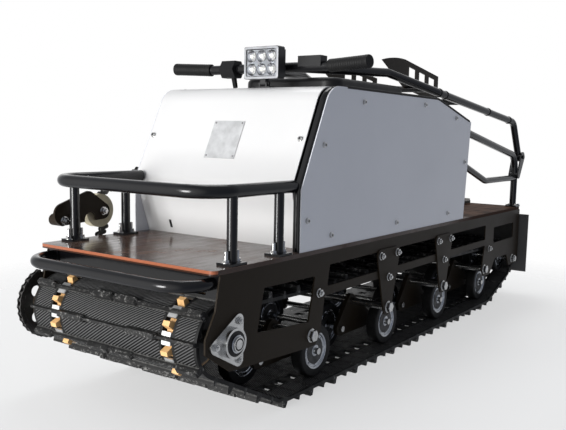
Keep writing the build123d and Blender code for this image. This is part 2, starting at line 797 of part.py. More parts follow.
def cowl_frame():
    """Two tube hoops tied across under the top sheet."""
    hidden_line = cowl_front_line + cowl_side_line[3:]
    rows = ((hoop_x, cowl_side_line, HOOP_D / 2), (-hoop_x, hidden_line, PANEL_T + SEAT_GAP + HOOP_D / 2))
    left, right = (
        bent_tube([(x, y, z) for y, z in inset_line(line, inset)], HOOP_BEND - inset, HOOP_D)
        for x, line, inset in rows)
    tie_z = COWL_TOP - PANEL_T - SEAT_GAP - TIE_D / 2
    ties = [rod_x(y, tie_z, -hoop_x, hoop_x, TIE_D) for y in TIE_Y]
    return left.fuse(right, *ties)


def cowl_rear_panel():
    """A flat sheet that closes the cowl's rear between the hoops."""
    top, foot = (COWL_REAR_TOP_Y, COWL_REAR_TOP_Z), (COWL_REAR_Y, DECK_TOP)
    inner_top = inset_line([top, foot], PANEL_T)[0]
    return yz_solid([top, foot, (COWL_REAR_Y - PANEL_T, DECK_TOP), inner_top],
                    panel_range[0], panel_range[1] - panel_range[0])


parts["cowl_frame"] = cowl_frame()
parts["cowl_side_left"] = cowl_side(cowl_half - PANEL_T)
parts["cowl_side_right"] = cowl_side(-cowl_half) - rod_x(
    OUTPUT_Y, OUTPUT_Z, -cowl_half, -cowl_half + PANEL_T, OUTPUT_SHAFT_D + 2 * OUTPUT_ROOM)
parts["cowl_front_panel"] = folded_sheet(
    cowl_front_line + [(COWL_SPLIT_Y, COWL_TOP)], HOOP_BEND, PANEL_T, panel_range)
cowl_break, cowl_rear_top = (COWL_BREAK_Y, COWL_TOP), (COWL_REAR_TOP_Y, COWL_REAR_TOP_Z)
lip_share = 1 - REAR_LIP / math.dist(cowl_break, cowl_rear_top)
parts["cowl_top_panel"] = folded_sheet([
    (COWL_SPLIT_Y + SPLIT_GAP, COWL_TOP), cowl_break,
    between(cowl_break, cowl_rear_top, lip_share)], HOOP_BEND, PANEL_T, panel_range)
parts["cowl_rear_panel"] = cowl_rear_panel()
parts["engine_block"] = block(
    (-ENGINE_W / 2, ENGINE_W / 2), (ENGINE_Y, ENGINE_Y + ENGINE_L), (DECK_TOP, COWL_TOP - ENGINE_ROOM))


def engine_cover():
    """A low cover on the top sheet with rounded corners and a rounded upper edge."""
    cover = block((COVER_X - COVER_W / 2, COVER_X + COVER_W / 2), (COVER_Y, COVER_Y + COVER_L),
                  (COWL_TOP, COWL_TOP + COVER_H))
    cover = fillet(cover.edges().filter_by(Axis.Z), COVER_CORNER)
    return fillet(cover.faces().sort_by(Axis.Z)[-1].edges(), COVER_EDGE)


parts["engine_cover"] = engine_cover()

# Rear arch: a bent post each side, tied low to the cowl's hoop, with the handlebar's ears
arch_x = hoop_x - SEAT_GAP - EAR_T - EAR_GAP / 2 + ARCH_D / 2
post_y = DECK_L - ARCH_POST_SETBACK
fold_y = post_y + FOLD_SETBACK


def rear_arch(x):
    """Flanged post bent forward to the cowl, a lower tube and two ears behind."""
    rear_slant = (COWL_REAR_TOP_Y - COWL_REAR_Y) / (COWL_REAR_TOP_Z - DECK_TOP)
    high_z, low_z = COWL_REAR_TOP_Z - HOOP_D, ARCH_LOW_Z + ARCH_LOW_RISE
    high_y, low_y = (COWL_REAR_Y + (z - DECK_TOP) * rear_slant - HOOP_D for z in (high_z, low_z))
    low_bend_y = COWL_REAR_TOP_Y + ARCH_LOW_SHARE * (post_y - COWL_REAR_TOP_Y)
    arch = bent_tube([(x, post_y, DECK_TOP), (x, post_y, ARCH_KNEE_Z), (x, high_y, high_z)],
                     ARCH_BEND, ARCH_D)
    arch += block((x - ARCH_FLANGE / 2, x + ARCH_FLANGE / 2),
                  (post_y - ARCH_FLANGE / 2, post_y + ARCH_FLANGE / 2),
                  (DECK_TOP, DECK_TOP + POST_FLANGE_T))
    arch += bent_tube([(x, post_y, ARCH_LOW_Z), (x, low_bend_y, ARCH_LOW_Z), (x, low_y, low_z)],
                      ARCH_LOW_BEND, ARCH_TIE_D)
    arch -= yz_solid(inset_line(cowl_side_line, -SEAT_GAP), x - ARCH_D, 2 * ARCH_D)
    ear = belt_face([(post_y, EAR_ROOT_Z, EAR_ROOT_R), (fold_y, FOLD_Z, EAR_R)], 0)
    ear -= Pos(fold_y, FOLD_Z) * Circle(FOLD_PIN_D / 2)
    for inner in (x - EAR_GAP / 2 - EAR_T, x + EAR_GAP / 2):
        arch += plate_x(ear, inner, EAR_T)
    return arch + rod_x(post_y, EAR_ROOT_Z, x - EAR_GAP / 2, x + EAR_GAP / 2, 2 * EAR_ROOT_R)


parts["rear_arch_left"] = rear_arch(arch_x)
parts["rear_arch_right"] = rear_arch(-arch_x)


def mud_flap():
    """A rubber sheet clamped under the deck's rear edge, hanging behind the track."""
    flap_half = half_deck + FLAP_OUT
    lug_end = idler_y + IDLER_D / 2 + BELT_T + LUG_H
    rear = max(lug_end, DECK_L) + FLAP_ROOM + FLAP_T
    flap = folded_sheet([(member_rows[-1] + MEMBER_W / 2, deck_under), (rear, deck_under),
                         (rear, FLAP_BOTTOM_Z)], FLAP_BEND, FLAP_T, (-flap_half, flap_half))
    for x_range in ((half_track, flap_half), (-flap_half, -half_track)):
        flap -= block(x_range, (member_rows[-1], rear), (deck_under - FLAP_SHOULDER, deck_under))
    return flap


def tow_tongue():
    """A flat tongue bolted on the deck's rear edge, with a hole for a sled's pin."""
    nose_y = DECK_L + TONGUE_REACH
    root = make_face(Polyline(
        (-TONGUE_W / 2, DECK_L - TONGUE_ROOT), (TONGUE_W / 2, DECK_L - TONGUE_ROOT),
        (TONGUE_W / 2, DECK_L), (TONGUE_NOSE_R, nose_y), (-TONGUE_NOSE_R, nose_y),
        (-TONGUE_W / 2, DECK_L), close=True))
    plan = root + Pos(0, nose_y) * Circle(TONGUE_NOSE_R) - Pos(0, nose_y) * Circle(TOW_PIN_D / 2)
    return Pos(0, 0, DECK_TOP) * extrude(plan, TONGUE_T)


parts["mud_flap"] = mud_flap()
parts["tow_tongue"] = tow_tongue()

# Handlebar: a cross bar with swept grips on two long stems that hinge in the ears
stem_x = GRIP_HALF - STEM_IN
knee_x = GRIP_HALF - BAR_KNEE_IN
stem_line = [(stem_x, BAR_Y, BAR_Z), *[(stem_x + out, y, z) for out, y, z in STEM_ROWS],
             (arch_x, fold_y - ELBOW_AHEAD, ELBOW_Z)]


def on_stem(y):
    """The stem's point (x, y, z) at a given y."""
    for start, end in zip(stem_line, stem_line[1:]):
        if y <= end[1]:
            break
    return between(start, end, (y - start[1]) / (end[1] - start[1]))


def bar_end(side):
    """The knee where a grip's sweep begins, and the bar's end."""
    return (side * knee_x, BAR_Y, BAR_Z), (side * GRIP_HALF, BAR_Y - GRIP_SWEEP, BAR_Z + GRIP_RISE)


def stem(side):
    """One side of the handlebar: long stem, elbow, fold eye and pin."""
    x = side * arch_x
    path = [(side * x_at, y, z) for x_at, y, z in stem_line] + [(x, fold_y, FOLD_Z)]
    tube = bent_tube(path, BAR_BEND, BAR_D)
    tube += rod_x(fold_y, FOLD_Z, x - FOLD_EYE_W / 2, x + FOLD_EYE_W / 2, FOLD_EYE_D)
    pin_half = EAR_GAP / 2 + 2 * EAR_T
    return tube + rod_x(fold_y, FOLD_Z, x - pin_half, x + pin_half, FOLD_PIN_D - 2 * PIN_FIT)


def handlebar_frame():
    """Cross bar, both stems and two bridges between them."""
    (left_knee, left_end), (right_knee, right_end) = bar_end(1), bar_end(-1)
    bar = bent_tube([right_end, right_knee, left_knee, left_end], BAR_BEND, BAR_D)
    bridges = [rod_x(y, on_stem(y)[2], -on_stem(y)[0], on_stem(y)[0], BRIDGE_D) for y in BRIDGE_Y]
    return bar.fuse(stem(1), stem(-1), *bridges)


def grip(side):
    """A rubber sleeve with a closed end over the swept end of the bar."""
    knee, end = bar_end(side)
    run = math.dist(knee, end)
    inner = between(end, knee, GRIP_L / run)
    outer = between(knee, end, 1 + GRIP_END_T / run)
    return rod_between(inner, outer, GRIP_D) - rod_between(inner, end, BAR_D)


def control_block():
    """A six-sided throttle and brake block beside the right grip, with its lever."""
    x_start = -knee_x + CONTROL_GAP
    body = plate_x(Pos(BAR_Y, BAR_Z) * RegularPolygon(CONTROL_R, 6), x_start, CONTROL_W)
    lever = yz_solid([(BAR_Y + y, BAR_Z + z) for y, z in LEVER_ROWS],
                     x_start + (CONTROL_W - LEVER_T) / 2, LEVER_T)
    return body + lever - rod_x(BAR_Y, BAR_Z, x_start, x_start + CONTROL_W, BAR_D)


def switch_box():
    """A flat switch box saddled on the bar beside the left grip."""
    x_end = knee_x - SWITCH_GAP
    box = block((x_end - SWITCH_L, x_end), (BAR_Y - SWITCH_W / 2, BAR_Y + SWITCH_W / 2),
                (BAR_Z, BAR_Z + SWITCH_H))
    return box - rod_x(BAR_Y, BAR_Z, x_end - SWITCH_L, x_end, BAR_D)


def console_bracket(x):
    """A slotted plate saddled on the two bridges, with a curved lip in front."""
    (front_y, front_z), (rear_y, rear_z) = ((y, on_stem(y)[2]) for y in BRIDGE_Y)
    slope = (rear_z - front_z) / (rear_y - front_y)

    def at(y, height):
        return y, front_z + slope * (y - front_y) + height

    front, rear = front_y - CONSOLE_LIP, rear_y + CONSOLE_LIP
    edge = [Line(at(front, 0), at(rear, 0)), Line(at(rear, 0), at(rear, CONSOLE_H)),
            Line(at(rear, CONSOLE_H), at(front, CONSOLE_H)),
            ThreePointArc(at(front, CONSOLE_H), at(front - SCOOP_L / 2, CONSOLE_H - SCOOP_RISE / 3),
                          at(front - SCOOP_L, CONSOLE_H - SCOOP_RISE)),
            Line(at(front - SCOOP_L, CONSOLE_H - SCOOP_RISE), at(front, 0))]
    plate = plate_x(make_face(Wire(edge)), x, CONSOLE_T)
    step = (rear_y - front_y) / CONSOLE_WINDOWS
    for index in range(CONSOLE_WINDOWS):
        low = front_y + step * (index + 0.5) - CONSOLE_WINDOW_L / 2
        high = low + CONSOLE_WINDOW_L
        top = CONSOLE_WINDOW_Z + CONSOLE_WINDOW_H
        plate -= yz_solid([at(low, CONSOLE_WINDOW_Z), at(high, CONSOLE_WINDOW_Z),
                           at(high, top), at(low, top)], x, CONSOLE_T)
    for y, z in ((front_y, front_z), (rear_y, rear_z)):
        plate -= rod_x(y, z, x, x + CONSOLE_T, BRIDGE_D)
    return plate


parts["handlebar_frame"] = handlebar_frame()
parts["grip_left"] = grip(1)
parts["grip_right"] = grip(-1)
parts["control_block"] = Compound([control_block(), switch_box()])
parts["console_bracket"] = Compound([
    console_bracket(x) for x in (CONSOLE_X - CONSOLE_T, -CONSOLE_X)
])

# Lamp on a foot on the cowl's top sheet
body_front = LAMP_FACE_Y + LENS_T
lamp_y = body_front + LAMP_BODY / 2
lamp_middle_z = LAMP_FOOT_Z + LAMP_H / 2


def lamp_bracket():
    """A base strip with two ears and the tilt bolt."""
    ear_x = LAMP_TONGUE_W / 2 + SEAT_GAP
    bracket = block((LAMP_X - ear_x - 3 * LAMP_EAR_T, LAMP_X + ear_x + 3 * LAMP_EAR_T),
                    (lamp_y - LAMP_EAR_R, lamp_y + 2 * LAMP_EAR_R), (COWL_TOP, COWL_TOP + LAMP_EAR_T))
    for x_start in (LAMP_X + ear_x, LAMP_X - ear_x - LAMP_EAR_T):
        bracket += block((x_start, x_start + LAMP_EAR_T), (lamp_y - LAMP_EAR_R, lamp_y + LAMP_EAR_R),
                         (COWL_TOP, LAMP_PIVOT_Z))
        bracket += rod_x(lamp_y, LAMP_PIVOT_Z, x_start, x_start + LAMP_EAR_T, 2 * LAMP_EAR_R)
    bolt_end = ear_x + 2 * LAMP_EAR_T
    return bracket + rod_x(
        lamp_y, LAMP_PIVOT_Z, LAMP_X - bolt_end, LAMP_X + bolt_end, LAMP_BOLT_D - 2 * PIN_FIT)


def lamp_housing():
    """A finned lamp body with a bezel, and a tongue below for the tilt bolt."""
    body_rear = body_front + LAMP_BODY
    frame = Pos(LAMP_X, (LAMP_FACE_Y + body_rear) / 2, lamp_middle_z) * Box(
        LAMP_W, body_rear - LAMP_FACE_Y, LAMP_H)
    frame = fillet(frame.edges().filter_by(Axis.Y), LAMP_CORNER)
    frame -= Pos(LAMP_X, LAMP_FACE_Y + LENS_T / 2, lamp_middle_z) * Box(
        LAMP_W - 2 * LAMP_BEZEL, LENS_T, LAMP_H - 2 * LAMP_BEZEL)
    fin_step = (LAMP_W - 2 * LAMP_BEZEL - LAMP_FIN_T) / (LAMP_FINS - 1)
    for index in range(LAMP_FINS):
        fin_x = LAMP_X - LAMP_W / 2 + LAMP_BEZEL + fin_step * index
        frame += block((fin_x, fin_x + LAMP_FIN_T), (body_rear, body_rear + LAMP_FIN_L),
                       (LAMP_FOOT_Z + LAMP_BEZEL, LAMP_FOOT_Z + LAMP_H - LAMP_BEZEL))
    tongue = (LAMP_X - LAMP_TONGUE_W / 2, LAMP_X + LAMP_TONGUE_W / 2)
    frame += block(tongue, (lamp_y - LAMP_EAR_R, lamp_y + LAMP_EAR_R), (LAMP_PIVOT_Z, LAMP_FOOT_Z))
    frame += rod_x(lamp_y, LAMP_PIVOT_Z, *tongue, 2 * LAMP_EAR_R)
    return frame - rod_x(lamp_y, LAMP_PIVOT_Z, *tongue, LAMP_BOLT_D)


parts["lamp_bracket"] = lamp_bracket()
parts["lamp_housing"] = lamp_housing()
parts["lamp_lens"] = Pos(LAMP_X, LAMP_FACE_Y + LENS_T / 2, lamp_middle_z) * Box(
    LAMP_W - 2 * (LAMP_BEZEL + SEAT_GAP), LENS_T, LAMP_H - 2 * (LAMP_BEZEL + SEAT_GAP))

# Origin: the middle of the footprint at ground level
boxes = [shape.bounding_box() for shape in parts.values()]
low = [min(getattr(box.min, axis) for box in boxes) for axis in "XYZ"]
high = [max(getattr(box.max, axis) for box in boxes) for axis in "XYZ"]
shift = Pos(-(low[0] + high[0]) / 2, -(low[1] + high[1]) / 2, -low[2])
os.makedirs("parts", exist_ok=True)
for name, shape in parts.items():
    export_step(shift * shape, f"parts/{name}.step")
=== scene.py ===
"""Looks of the tracked snow tug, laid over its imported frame.

Shapes are worked out in millimetres in the machine's building frame: y = 0 is the deck's
front edge, z = 0 the ground, the front faces -Y and +X is the machine's left side.
"""

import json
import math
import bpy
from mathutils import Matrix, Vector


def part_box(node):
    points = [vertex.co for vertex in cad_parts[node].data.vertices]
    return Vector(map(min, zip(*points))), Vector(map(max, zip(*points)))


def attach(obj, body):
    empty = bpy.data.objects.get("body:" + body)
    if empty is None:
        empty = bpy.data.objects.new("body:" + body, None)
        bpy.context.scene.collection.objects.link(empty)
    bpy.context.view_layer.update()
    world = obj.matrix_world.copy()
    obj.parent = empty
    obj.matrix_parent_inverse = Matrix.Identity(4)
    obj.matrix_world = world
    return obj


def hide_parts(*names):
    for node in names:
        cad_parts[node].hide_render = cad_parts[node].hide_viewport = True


bl_info = {
    "name": "Tracked snow tug",
    "version": (1, 0, 0),
    "blender": (4, 5, 0),
    "location": "View3D > Sidebar > Snow tug",
    "description": "Dresses the tracked snow tug with its rubber track, wheels, chain, bolts and finishes",
    "category": "Object",
}

import bmesh
import bpy
import numpy as np
from mathutils import Matrix, Vector

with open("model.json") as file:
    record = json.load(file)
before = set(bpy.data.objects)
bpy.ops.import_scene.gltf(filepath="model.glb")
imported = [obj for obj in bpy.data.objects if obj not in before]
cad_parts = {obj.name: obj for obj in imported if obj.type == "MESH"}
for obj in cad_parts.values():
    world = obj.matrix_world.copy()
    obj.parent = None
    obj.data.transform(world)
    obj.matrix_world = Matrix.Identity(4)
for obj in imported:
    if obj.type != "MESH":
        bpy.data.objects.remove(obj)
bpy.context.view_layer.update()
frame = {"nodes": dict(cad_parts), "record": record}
DECK_LOW, DECK_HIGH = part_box("deck")
MM = 0.001
ORIGIN = np.array([0.0, DECK_LOW[1], 0.0])
DECK_TOP = DECK_HIGH[2] / MM
HALF_DECK = DECK_HIGH[0] / MM
LEFT, REAR, UP = (1.0, 0.0, 0.0), (0.0, 1.0, 0.0), (0.0, 0.0, 1.0)
# Edges that turn by more degrees than this stay sharp
SMOOTH_ANGLE = 32.0

# Track and running gear, as in the part
TRACK_W = 500.0
TRACK_PITCH = 52.5
TRACK_COUNT = 73
BELT_T = 8.0
LUG_H = 15.0
WINDOW_L = 30.0
WINDOW_IN, WINDOW_OUT = 157.0, 185.0
WINDOW_MIDDLE = (WINDOW_IN + WINDOW_OUT) / 2
DRIVE_Y, DRIVE_Z = 48.0, 207.0
DRIVE_R = TRACK_PITCH * 9 / math.tau - BELT_T / 2
TOOTH_PHASE = 154.0
WHEEL_D, WHEEL_W, WHEEL_Z = 130.0, 32.0, 88.0
IDLER_D, IDLER_Z = 110.0, 158.0
WHEEL_RIM_R, IDLER_RIM_R = 46.0, 40.0
PIVOT_Z = 157.0
PIVOTS = (337.0, 703.0, 1069.0, 1435.0)
TRAIL_REACH, LEAD_REACH = 97.0, 55.0
OUTER_WHEEL_X, INNER_WHEEL_X = 201.5, 100.0
IDLER_LOW, IDLER_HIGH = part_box("rear_idler_axle")
IDLER_Y = ((IDLER_LOW[1] + IDLER_HIGH[1]) / 2 - ORIGIN[1]) / MM

# Pitch of the belt's hatch in metres, and its slope across the belt
HATCH, HATCH_SLOPE = 0.0060, 0.593

# Chain drive
CHAIN_X = -295.0
FLANGE_BOLT_R = 46.0
CHAIN_PITCH = 15.875
CHAIN_WHEEL_R, CHAIN_TEETH = 82.0, 32
OUTPUT_Y, OUTPUT_Z, OUTPUT_R = 470.0, 545.0, 32.0
ROLLER_Y, ROLLER_Z, ROLLER_PATH_R = 189.0, 415.0, 48.8

# Thickness of what the bolts and nuts sit on
HANGER_T, FLANGE_T, BEARING_T = 4.0, 5.0, 18.0
FOOT_T, TONGUE_T = 5.0, 10.0

# Handlebar and lamp
BAR_Y, BAR_Z = 505.0, 785.0
KNEE_X, GRIP_HALF = 185.0, 310.0
GRIP_SWEEP, GRIP_RISE, GRIP_L = 17.0, 5.0, 118.0
STEM_LINE = ((205.0, 1110.0, 757.0), (242.2, 1730.0, 682.0))
LAMP_X, LAMP_FACE_Y, LAMP_MIDDLE_Z = 30.0, 436.0, 792.0

# Cowl
COWL_KNEE = (288.0, 495.0)
COWL_BROW = (398.0, 730.0)
COWL_FOOT = (334.0, 355.0)
COWL_X = 264.0

# Camera, fitted to the machine's corners in the photograph, and the picture's size in pixels
CAMERA_PLACE = (1163.3, -1013.8, 616.5)
CAMERA_YAW, CAMERA_PITCH, CAMERA_ROLL = 0.598, 0.122, 0.023
FOCAL_PIXELS = 722.0
MIDDLE_PIXEL = (305.6, 223.1)
IMAGE_SIZE = (566, 430)
SENSOR = 36.0

SOFT_BOXES = (
    # name, place and target in metres, size in metres, spread in degrees, share of the lights' power
    ("key", (-1.3, -3.8, 1.0), (0.0, -0.6, 0.42), 1.2, 75.0, 0.2),
    ("low front", (-0.5, -3.6, 0.5), (0.0, -0.6, 0.42), 1.2, 60.0, 1.32),
    ("top", (-0.8, 0.7, 3.4), (0.0, 0.4, 0.5), 1.6, 100.0, 1.4),
)


def operation(kind, reflected=False):
    """A method of Value that adds a Math node of one kind, with its values swapped if it is reflected."""
    def work(self, other=0.0):
        return self.shader.math(kind, *((other, self) if reflected else (self, other)))
    return work


class Value:
    """A socket of a material; arithmetic on it adds Math nodes."""

    def __init__(self, shader, socket):
        self.shader = shader
        self.socket = socket

    __add__ = __radd__ = operation("ADD")
    __sub__ = operation("SUBTRACT")
    __rsub__ = operation("SUBTRACT", reflected=True)
    __mul__ = __rmul__ = operation("MULTIPLY")
    __truediv__ = operation("DIVIDE")
    __rtruediv__ = operation("DIVIDE", reflected=True)
    __mod__ = operation("FLOORED_MODULO")
    __rmod__ = operation("FLOORED_MODULO", reflected=True)
    __gt__ = operation("GREATER_THAN")
    __lt__ = operation("LESS_THAN")
    __abs__ = operation("ABSOLUTE")


class Shader:
    """One material with a Principled surface, or the nodes of a given tree."""

    def __init__(self, name, tree=None):
        if tree is None:
            self.material = bpy.data.materials.new(name)
            self.material.use_nodes = True
            tree = self.material.node_tree
            self.surface = tree.nodes["Principled BSDF"]
        self.tree = tree

    def feed(self, socket, value):
        """Link a value to a socket, or set the socket's own number or colour."""
        if isinstance(value, Value):
            self.tree.links.new(value.socket, socket)
        elif socket.type == "RGBA":
            socket.default_value = (*value, 1.0)
        else:
            socket.default_value = value

    def add(self, kind, settings=None, inputs=None, output=0):
        """Add a node: its type, its settings, its sockets, and which output to use."""
        node = self.tree.nodes.new(kind)
        for name, value in (settings or {}).items():
            setattr(node, name, value)
        for name, value in (inputs or {}).items():
            self.feed(node.inputs[name], value)
        return Value(self, node.outputs[output])

    def math(self, kind, first, second):
        return self.add("ShaderNodeMath", {"operation": kind}, {0: first, 1: second})

    def mix(self, factor, first, second):
        """Mix two colours."""
        return self.add("ShaderNodeMix", {"data_type": "RGBA"}, {0: factor, 6: first, 7: second}, 2)

    def place(self):
        """Object coordinates."""
        return self.add("ShaderNodeTexCoord", output="Object")

    def axes(self, place):
        """The three numbers of a place."""
        node = self.add("ShaderNodeSeparateXYZ", None, {0: place}).socket.node
        return [Value(self, output) for output in node.outputs]

    def noise(self, scale, detail, rough=0.55, place=None):
        """Noise over a place, or over the object coordinates."""
        return self.add("ShaderNodeTexNoise", None, {"Vector": place or self.place(), "Scale": scale,
                                                     "Detail": detail, "Roughness": rough})

    def limit(self, value, low, high):
        """Map low..high to 0..1 and cut off what lies outside."""
        return self.add("ShaderNodeMapRange", {"clamp": True}, {0: value, 1: low, 2: high})

    def bump(self, height, strength, distance):
        return self.add("ShaderNodeBump", None,
                        {"Height": height, "Strength": strength, "Distance": distance})

    def look(self, **sockets):
        """Set the surface's sockets by name, with _ for a space."""
        for name, value in sockets.items():
            self.feed(self.surface.inputs[name.replace("_", " ")], value)
        return self.material


class Surface:
    """Points in millimetres and faces of one mesh, with named marks for each point."""

    def __init__(self, points, faces, marks=None):
        self.points = np.asarray(points, float).reshape(-1, 3)
        self.faces = [np.asarray(block, int) for block in faces]
        self.marks = marks or {}

    def moved(self, offset):
        return Surface(self.points + np.asarray(offset, float), self.faces)

    def turned(self, matrix):
        """Points times a 3 by 3 matrix whose rows are the new x, y and z directions."""
        return Surface(self.points @ np.asarray(matrix, float), self.faces)


def join(surfaces):
    """One surface from many, with their face numbers shifted."""
    points, faces, start = [], [], 0
    for surface in surfaces:
        points.append(surface.points)
        faces.extend(block + start for block in surface.faces)
        start += len(surface.points)
    return Surface(np.concatenate(points), faces)


def stacked(*values):
    """Values side by side along a new last axis, each spread to their common shape."""
    return np.stack(np.broadcast_arrays(*values), axis=-1)


def grid_quads(rows, columns, close_rows=False, close_columns=False):
    """Quads of a grid of rows by columns, closed round either way."""
    row = np.arange(rows if close_rows else rows - 1)
    column = np.arange(columns if close_columns else columns - 1)
    row, column = np.meshgrid(row, column, indexing="ij")
    below, beside = (row + 1) % rows, (column + 1) % columns
    quads = stacked(row * columns + column, row * columns + beside,
                    below * columns + beside, below * columns + column)
    return quads.reshape(-1, 4)


def lathe(profile, sides):
    """Turn an (x, r) profile about X: point = (x, r cos a, r sin a)."""
    x, r = np.asarray(profile, float).T[..., None]
    angle = np.arange(sides) * math.tau / sides
    points = stacked(x, r * np.cos(angle), r * np.sin(angle))
    return Surface(points, [grid_quads(len(x), sides, close_columns=True)])


def scatter(shape, places, matrices=None):
    """Copies of one shape: point = place + shape point times that copy's matrix, where it has one."""
    places = np.asarray(places, float)
    if matrices is None:
        matrices = np.tile(np.eye(3), (len(places), 1, 1))
    points = np.einsum("pi,nij->npj", shape.points, np.asarray(matrices, float)) + places[:, None, :]
    shift = np.arange(len(places)) * len(shape.points)
    faces = [(block[None] + shift[:, None, None]).reshape(-1, block.shape[1]) for block in shape.faces]
    return Surface(points, faces)


def frames_along(axes):
    """One matrix for each axis: its first row is the axis, the others stand square to it."""
    axes = np.asarray(axes, float)
    axes = axes / np.linalg.norm(axes, axis=1, keepdims=True)
    steep = 0.9
    helper = np.where(np.abs(axes[:, 2:]) < steep, [UP], [REAR])
    second = np.cross(helper, axes)
    second /= np.linalg.norm(second, axis=1, keepdims=True)
    return np.stack([axes, second, np.cross(axes, second)], axis=1)


def tube(path, radius, sides):
    """A round tube: each path point carries a circle square to the path."""
    path = np.asarray(path, float)
    matrices = frames_along(np.gradient(path, axis=0))
    angle = np.arange(sides) * math.tau / sides
    circle = stacked(0.0, radius * np.cos(angle), radius * np.sin(angle))
    points = np.einsum("si,nij->nsj", circle, matrices) + path[:, None, :]
    count = len(path)
    caps = [np.arange(sides)[::-1][None], (np.arange(sides) + (count - 1) * sides)[None]]
    return Surface(points, [grid_quads(count, sides, close_columns=True), *caps])


def box_shape(x_size, y_size, z_size, edge):
    """A box with cut edges about the origin, as a grid of four rings and two ends."""
    half = np.array([x_size, y_size, z_size]) / 2
    rings = [(-half[0], edge), (-half[0] + edge, 0.0), (half[0] - edge, 0.0), (half[0], edge)]
    corner = np.array([[1, 1], [-1, 1], [-1, -1], [1, -1]])
    points = [stacked(x, *(corner * (half[1:] - inset)).T) for x, inset in rings]
    quads = grid_quads(4, 4, close_columns=True)
    return Surface(points, [quads, [[3, 2, 1, 0]], [[12, 13, 14, 15]]])


def hex_bolt(size):
    """A washer and a domed six-sided head along +X, for a bolt of that thread size."""
    washer = np.array([(0.0, 0.0), (0.0, 1.08), (0.16, 1.08), (0.2, 1.02), (0.2, 0.0)]) * size
    head = np.array([(0.2, 0.0), (0.2, 0.94), (0.78, 0.94), (0.86, 0.82), (0.86, 0.0)]) * size
    return join([lathe(washer, 20), lathe(head, 6)])


def placed(shape, rows):
    """Copies of a shape that points along +X, at rows of place and axis."""
    places, axes = zip(*rows)
    return scatter(shape, places, frames_along(axes))


def new_object(name, data):
    """An object of the scene with that mesh, light or camera."""
    obj = bpy.data.objects.new(name, data)
    bpy.context.scene.collection.objects.link(obj)
    return obj


def put(name, surface, slot, body="chassis", finish=None, replaces=()):
    """Make the object with its slot's finish or its own, and let it ride on its body."""
    mesh = bpy.data.meshes.new(name)
    faces = [face for block in surface.faces for face in block.tolist()]
    mesh.from_pydata((surface.points * MM + ORIGIN).tolist(), [], faces)
    for title, values in surface.marks.items():
        layer = mesh.attributes.new(title, "FLOAT_VECTOR", "POINT")
        layer.data.foreach_set("vector", (np.asarray(values) * MM).ravel())
    work = bmesh.new()
    work.from_mesh(mesh)
    bmesh.ops.remove_doubles(work, verts=work.verts, dist=1e-6)
    bmesh.ops.recalc_face_normals(work, faces=work.faces)
    work.to_mesh(mesh)
    work.free()
    mesh.shade_smooth()
    mesh.set_sharp_from_angle(angle=math.radians(SMOOTH_ANGLE))
    mesh.materials.append(finish or FINISHES[slot])
    obj = new_object(name, mesh)
    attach(obj, body)
    if replaces:
        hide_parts(*replaces)


def belt_line(wheels, lengths):
    """Points and outward normals at lengths along a belt round (y, z, radius) wheels.

    The belt leaves each wheel on the tangent to the next one. On an arc the point is
    centre + radius (cos a, sin a); on a run it moves evenly between the two tangent points.
    A wheel with a negative radius is passed on its other side.
    """
    wheels = np.asarray(wheels, float)
    after = np.roll(wheels, -1, axis=0)
    step = after[:, :2] - wheels[:, :2]
    run = np.linalg.norm(step, axis=1)
    along = step / run[:, None]
    lean = (wheels[:, 2] - after[:, 2]) / run
    side = np.sqrt(1 - lean ** 2)
    normal = np.arctan2(lean * along[:, 1] - side * along[:, 0], lean * along[:, 0] + side * along[:, 1])
    start, end = np.roll(normal, 1), normal
    turn = np.where(wheels[:, 2] > 0, (end - start) % math.tau, -((start - end) % math.tau))
    arc = np.abs(wheels[:, 2] * turn)
    straight = run * side
    knots = np.concatenate([[0.0], np.cumsum(stacked(arc, straight))])
    lengths = np.asarray(lengths, float) % knots[-1]
    span = np.clip(np.searchsorted(knots, lengths, side="right") - 1, 0, len(knots) - 2)
    wheel, on_run = span // 2, span % 2 == 1
    rest = lengths - knots[span]
    angle = np.where(on_run, end[wheel],
                     start[wheel] + turn[wheel] * np.where(on_run, 0.0, rest / arc[wheel]))
    out = stacked(np.cos(angle), np.sin(angle))
    points = wheels[wheel, :2] + wheels[wheel, 2:] * out
    points += np.where(on_run, rest, 0.0)[:, None] * along[wheel]
    return points, out, knots[-1], start[0]


TRACK_WHEELS = (
    # y, z and radius at the belt's middle, anticlockwise from the drive
    (DRIVE_Y, DRIVE_Z, DRIVE_R + BELT_T / 2),
    (PIVOTS[0] - LEAD_REACH, WHEEL_Z, WHEEL_D / 2 + BELT_T / 2),
    (PIVOTS[-1] + TRAIL_REACH, WHEEL_Z, WHEEL_D / 2 + BELT_T / 2),
    (IDLER_Y, IDLER_Z, IDLER_D / 2 + BELT_T / 2),
)
CHAIN_WHEELS = (
    (DRIVE_Y, DRIVE_Z, CHAIN_WHEEL_R),
    (OUTPUT_Y, OUTPUT_Z, OUTPUT_R),
    (ROLLER_Y, ROLLER_Z, -ROLLER_PATH_R),
)


def window_start():
    """Length along the belt at the middle of a drive window."""
    _, _, _, first_angle = belt_line(TRACK_WHEELS, [0.0])
    return TRACK_WHEELS[0][2] * (math.radians(TOOTH_PHASE) - first_angle)


def colour_property(name, description, default):
    return bpy.props.FloatVectorProperty(name=name, description=description, default=default,
                                         size=3, min=0.0, max=1.0, subtype="COLOR")


def size_property(name, description, default, low, high):
    return bpy.props.FloatProperty(name=name, description=description, default=default, min=low, max=high)


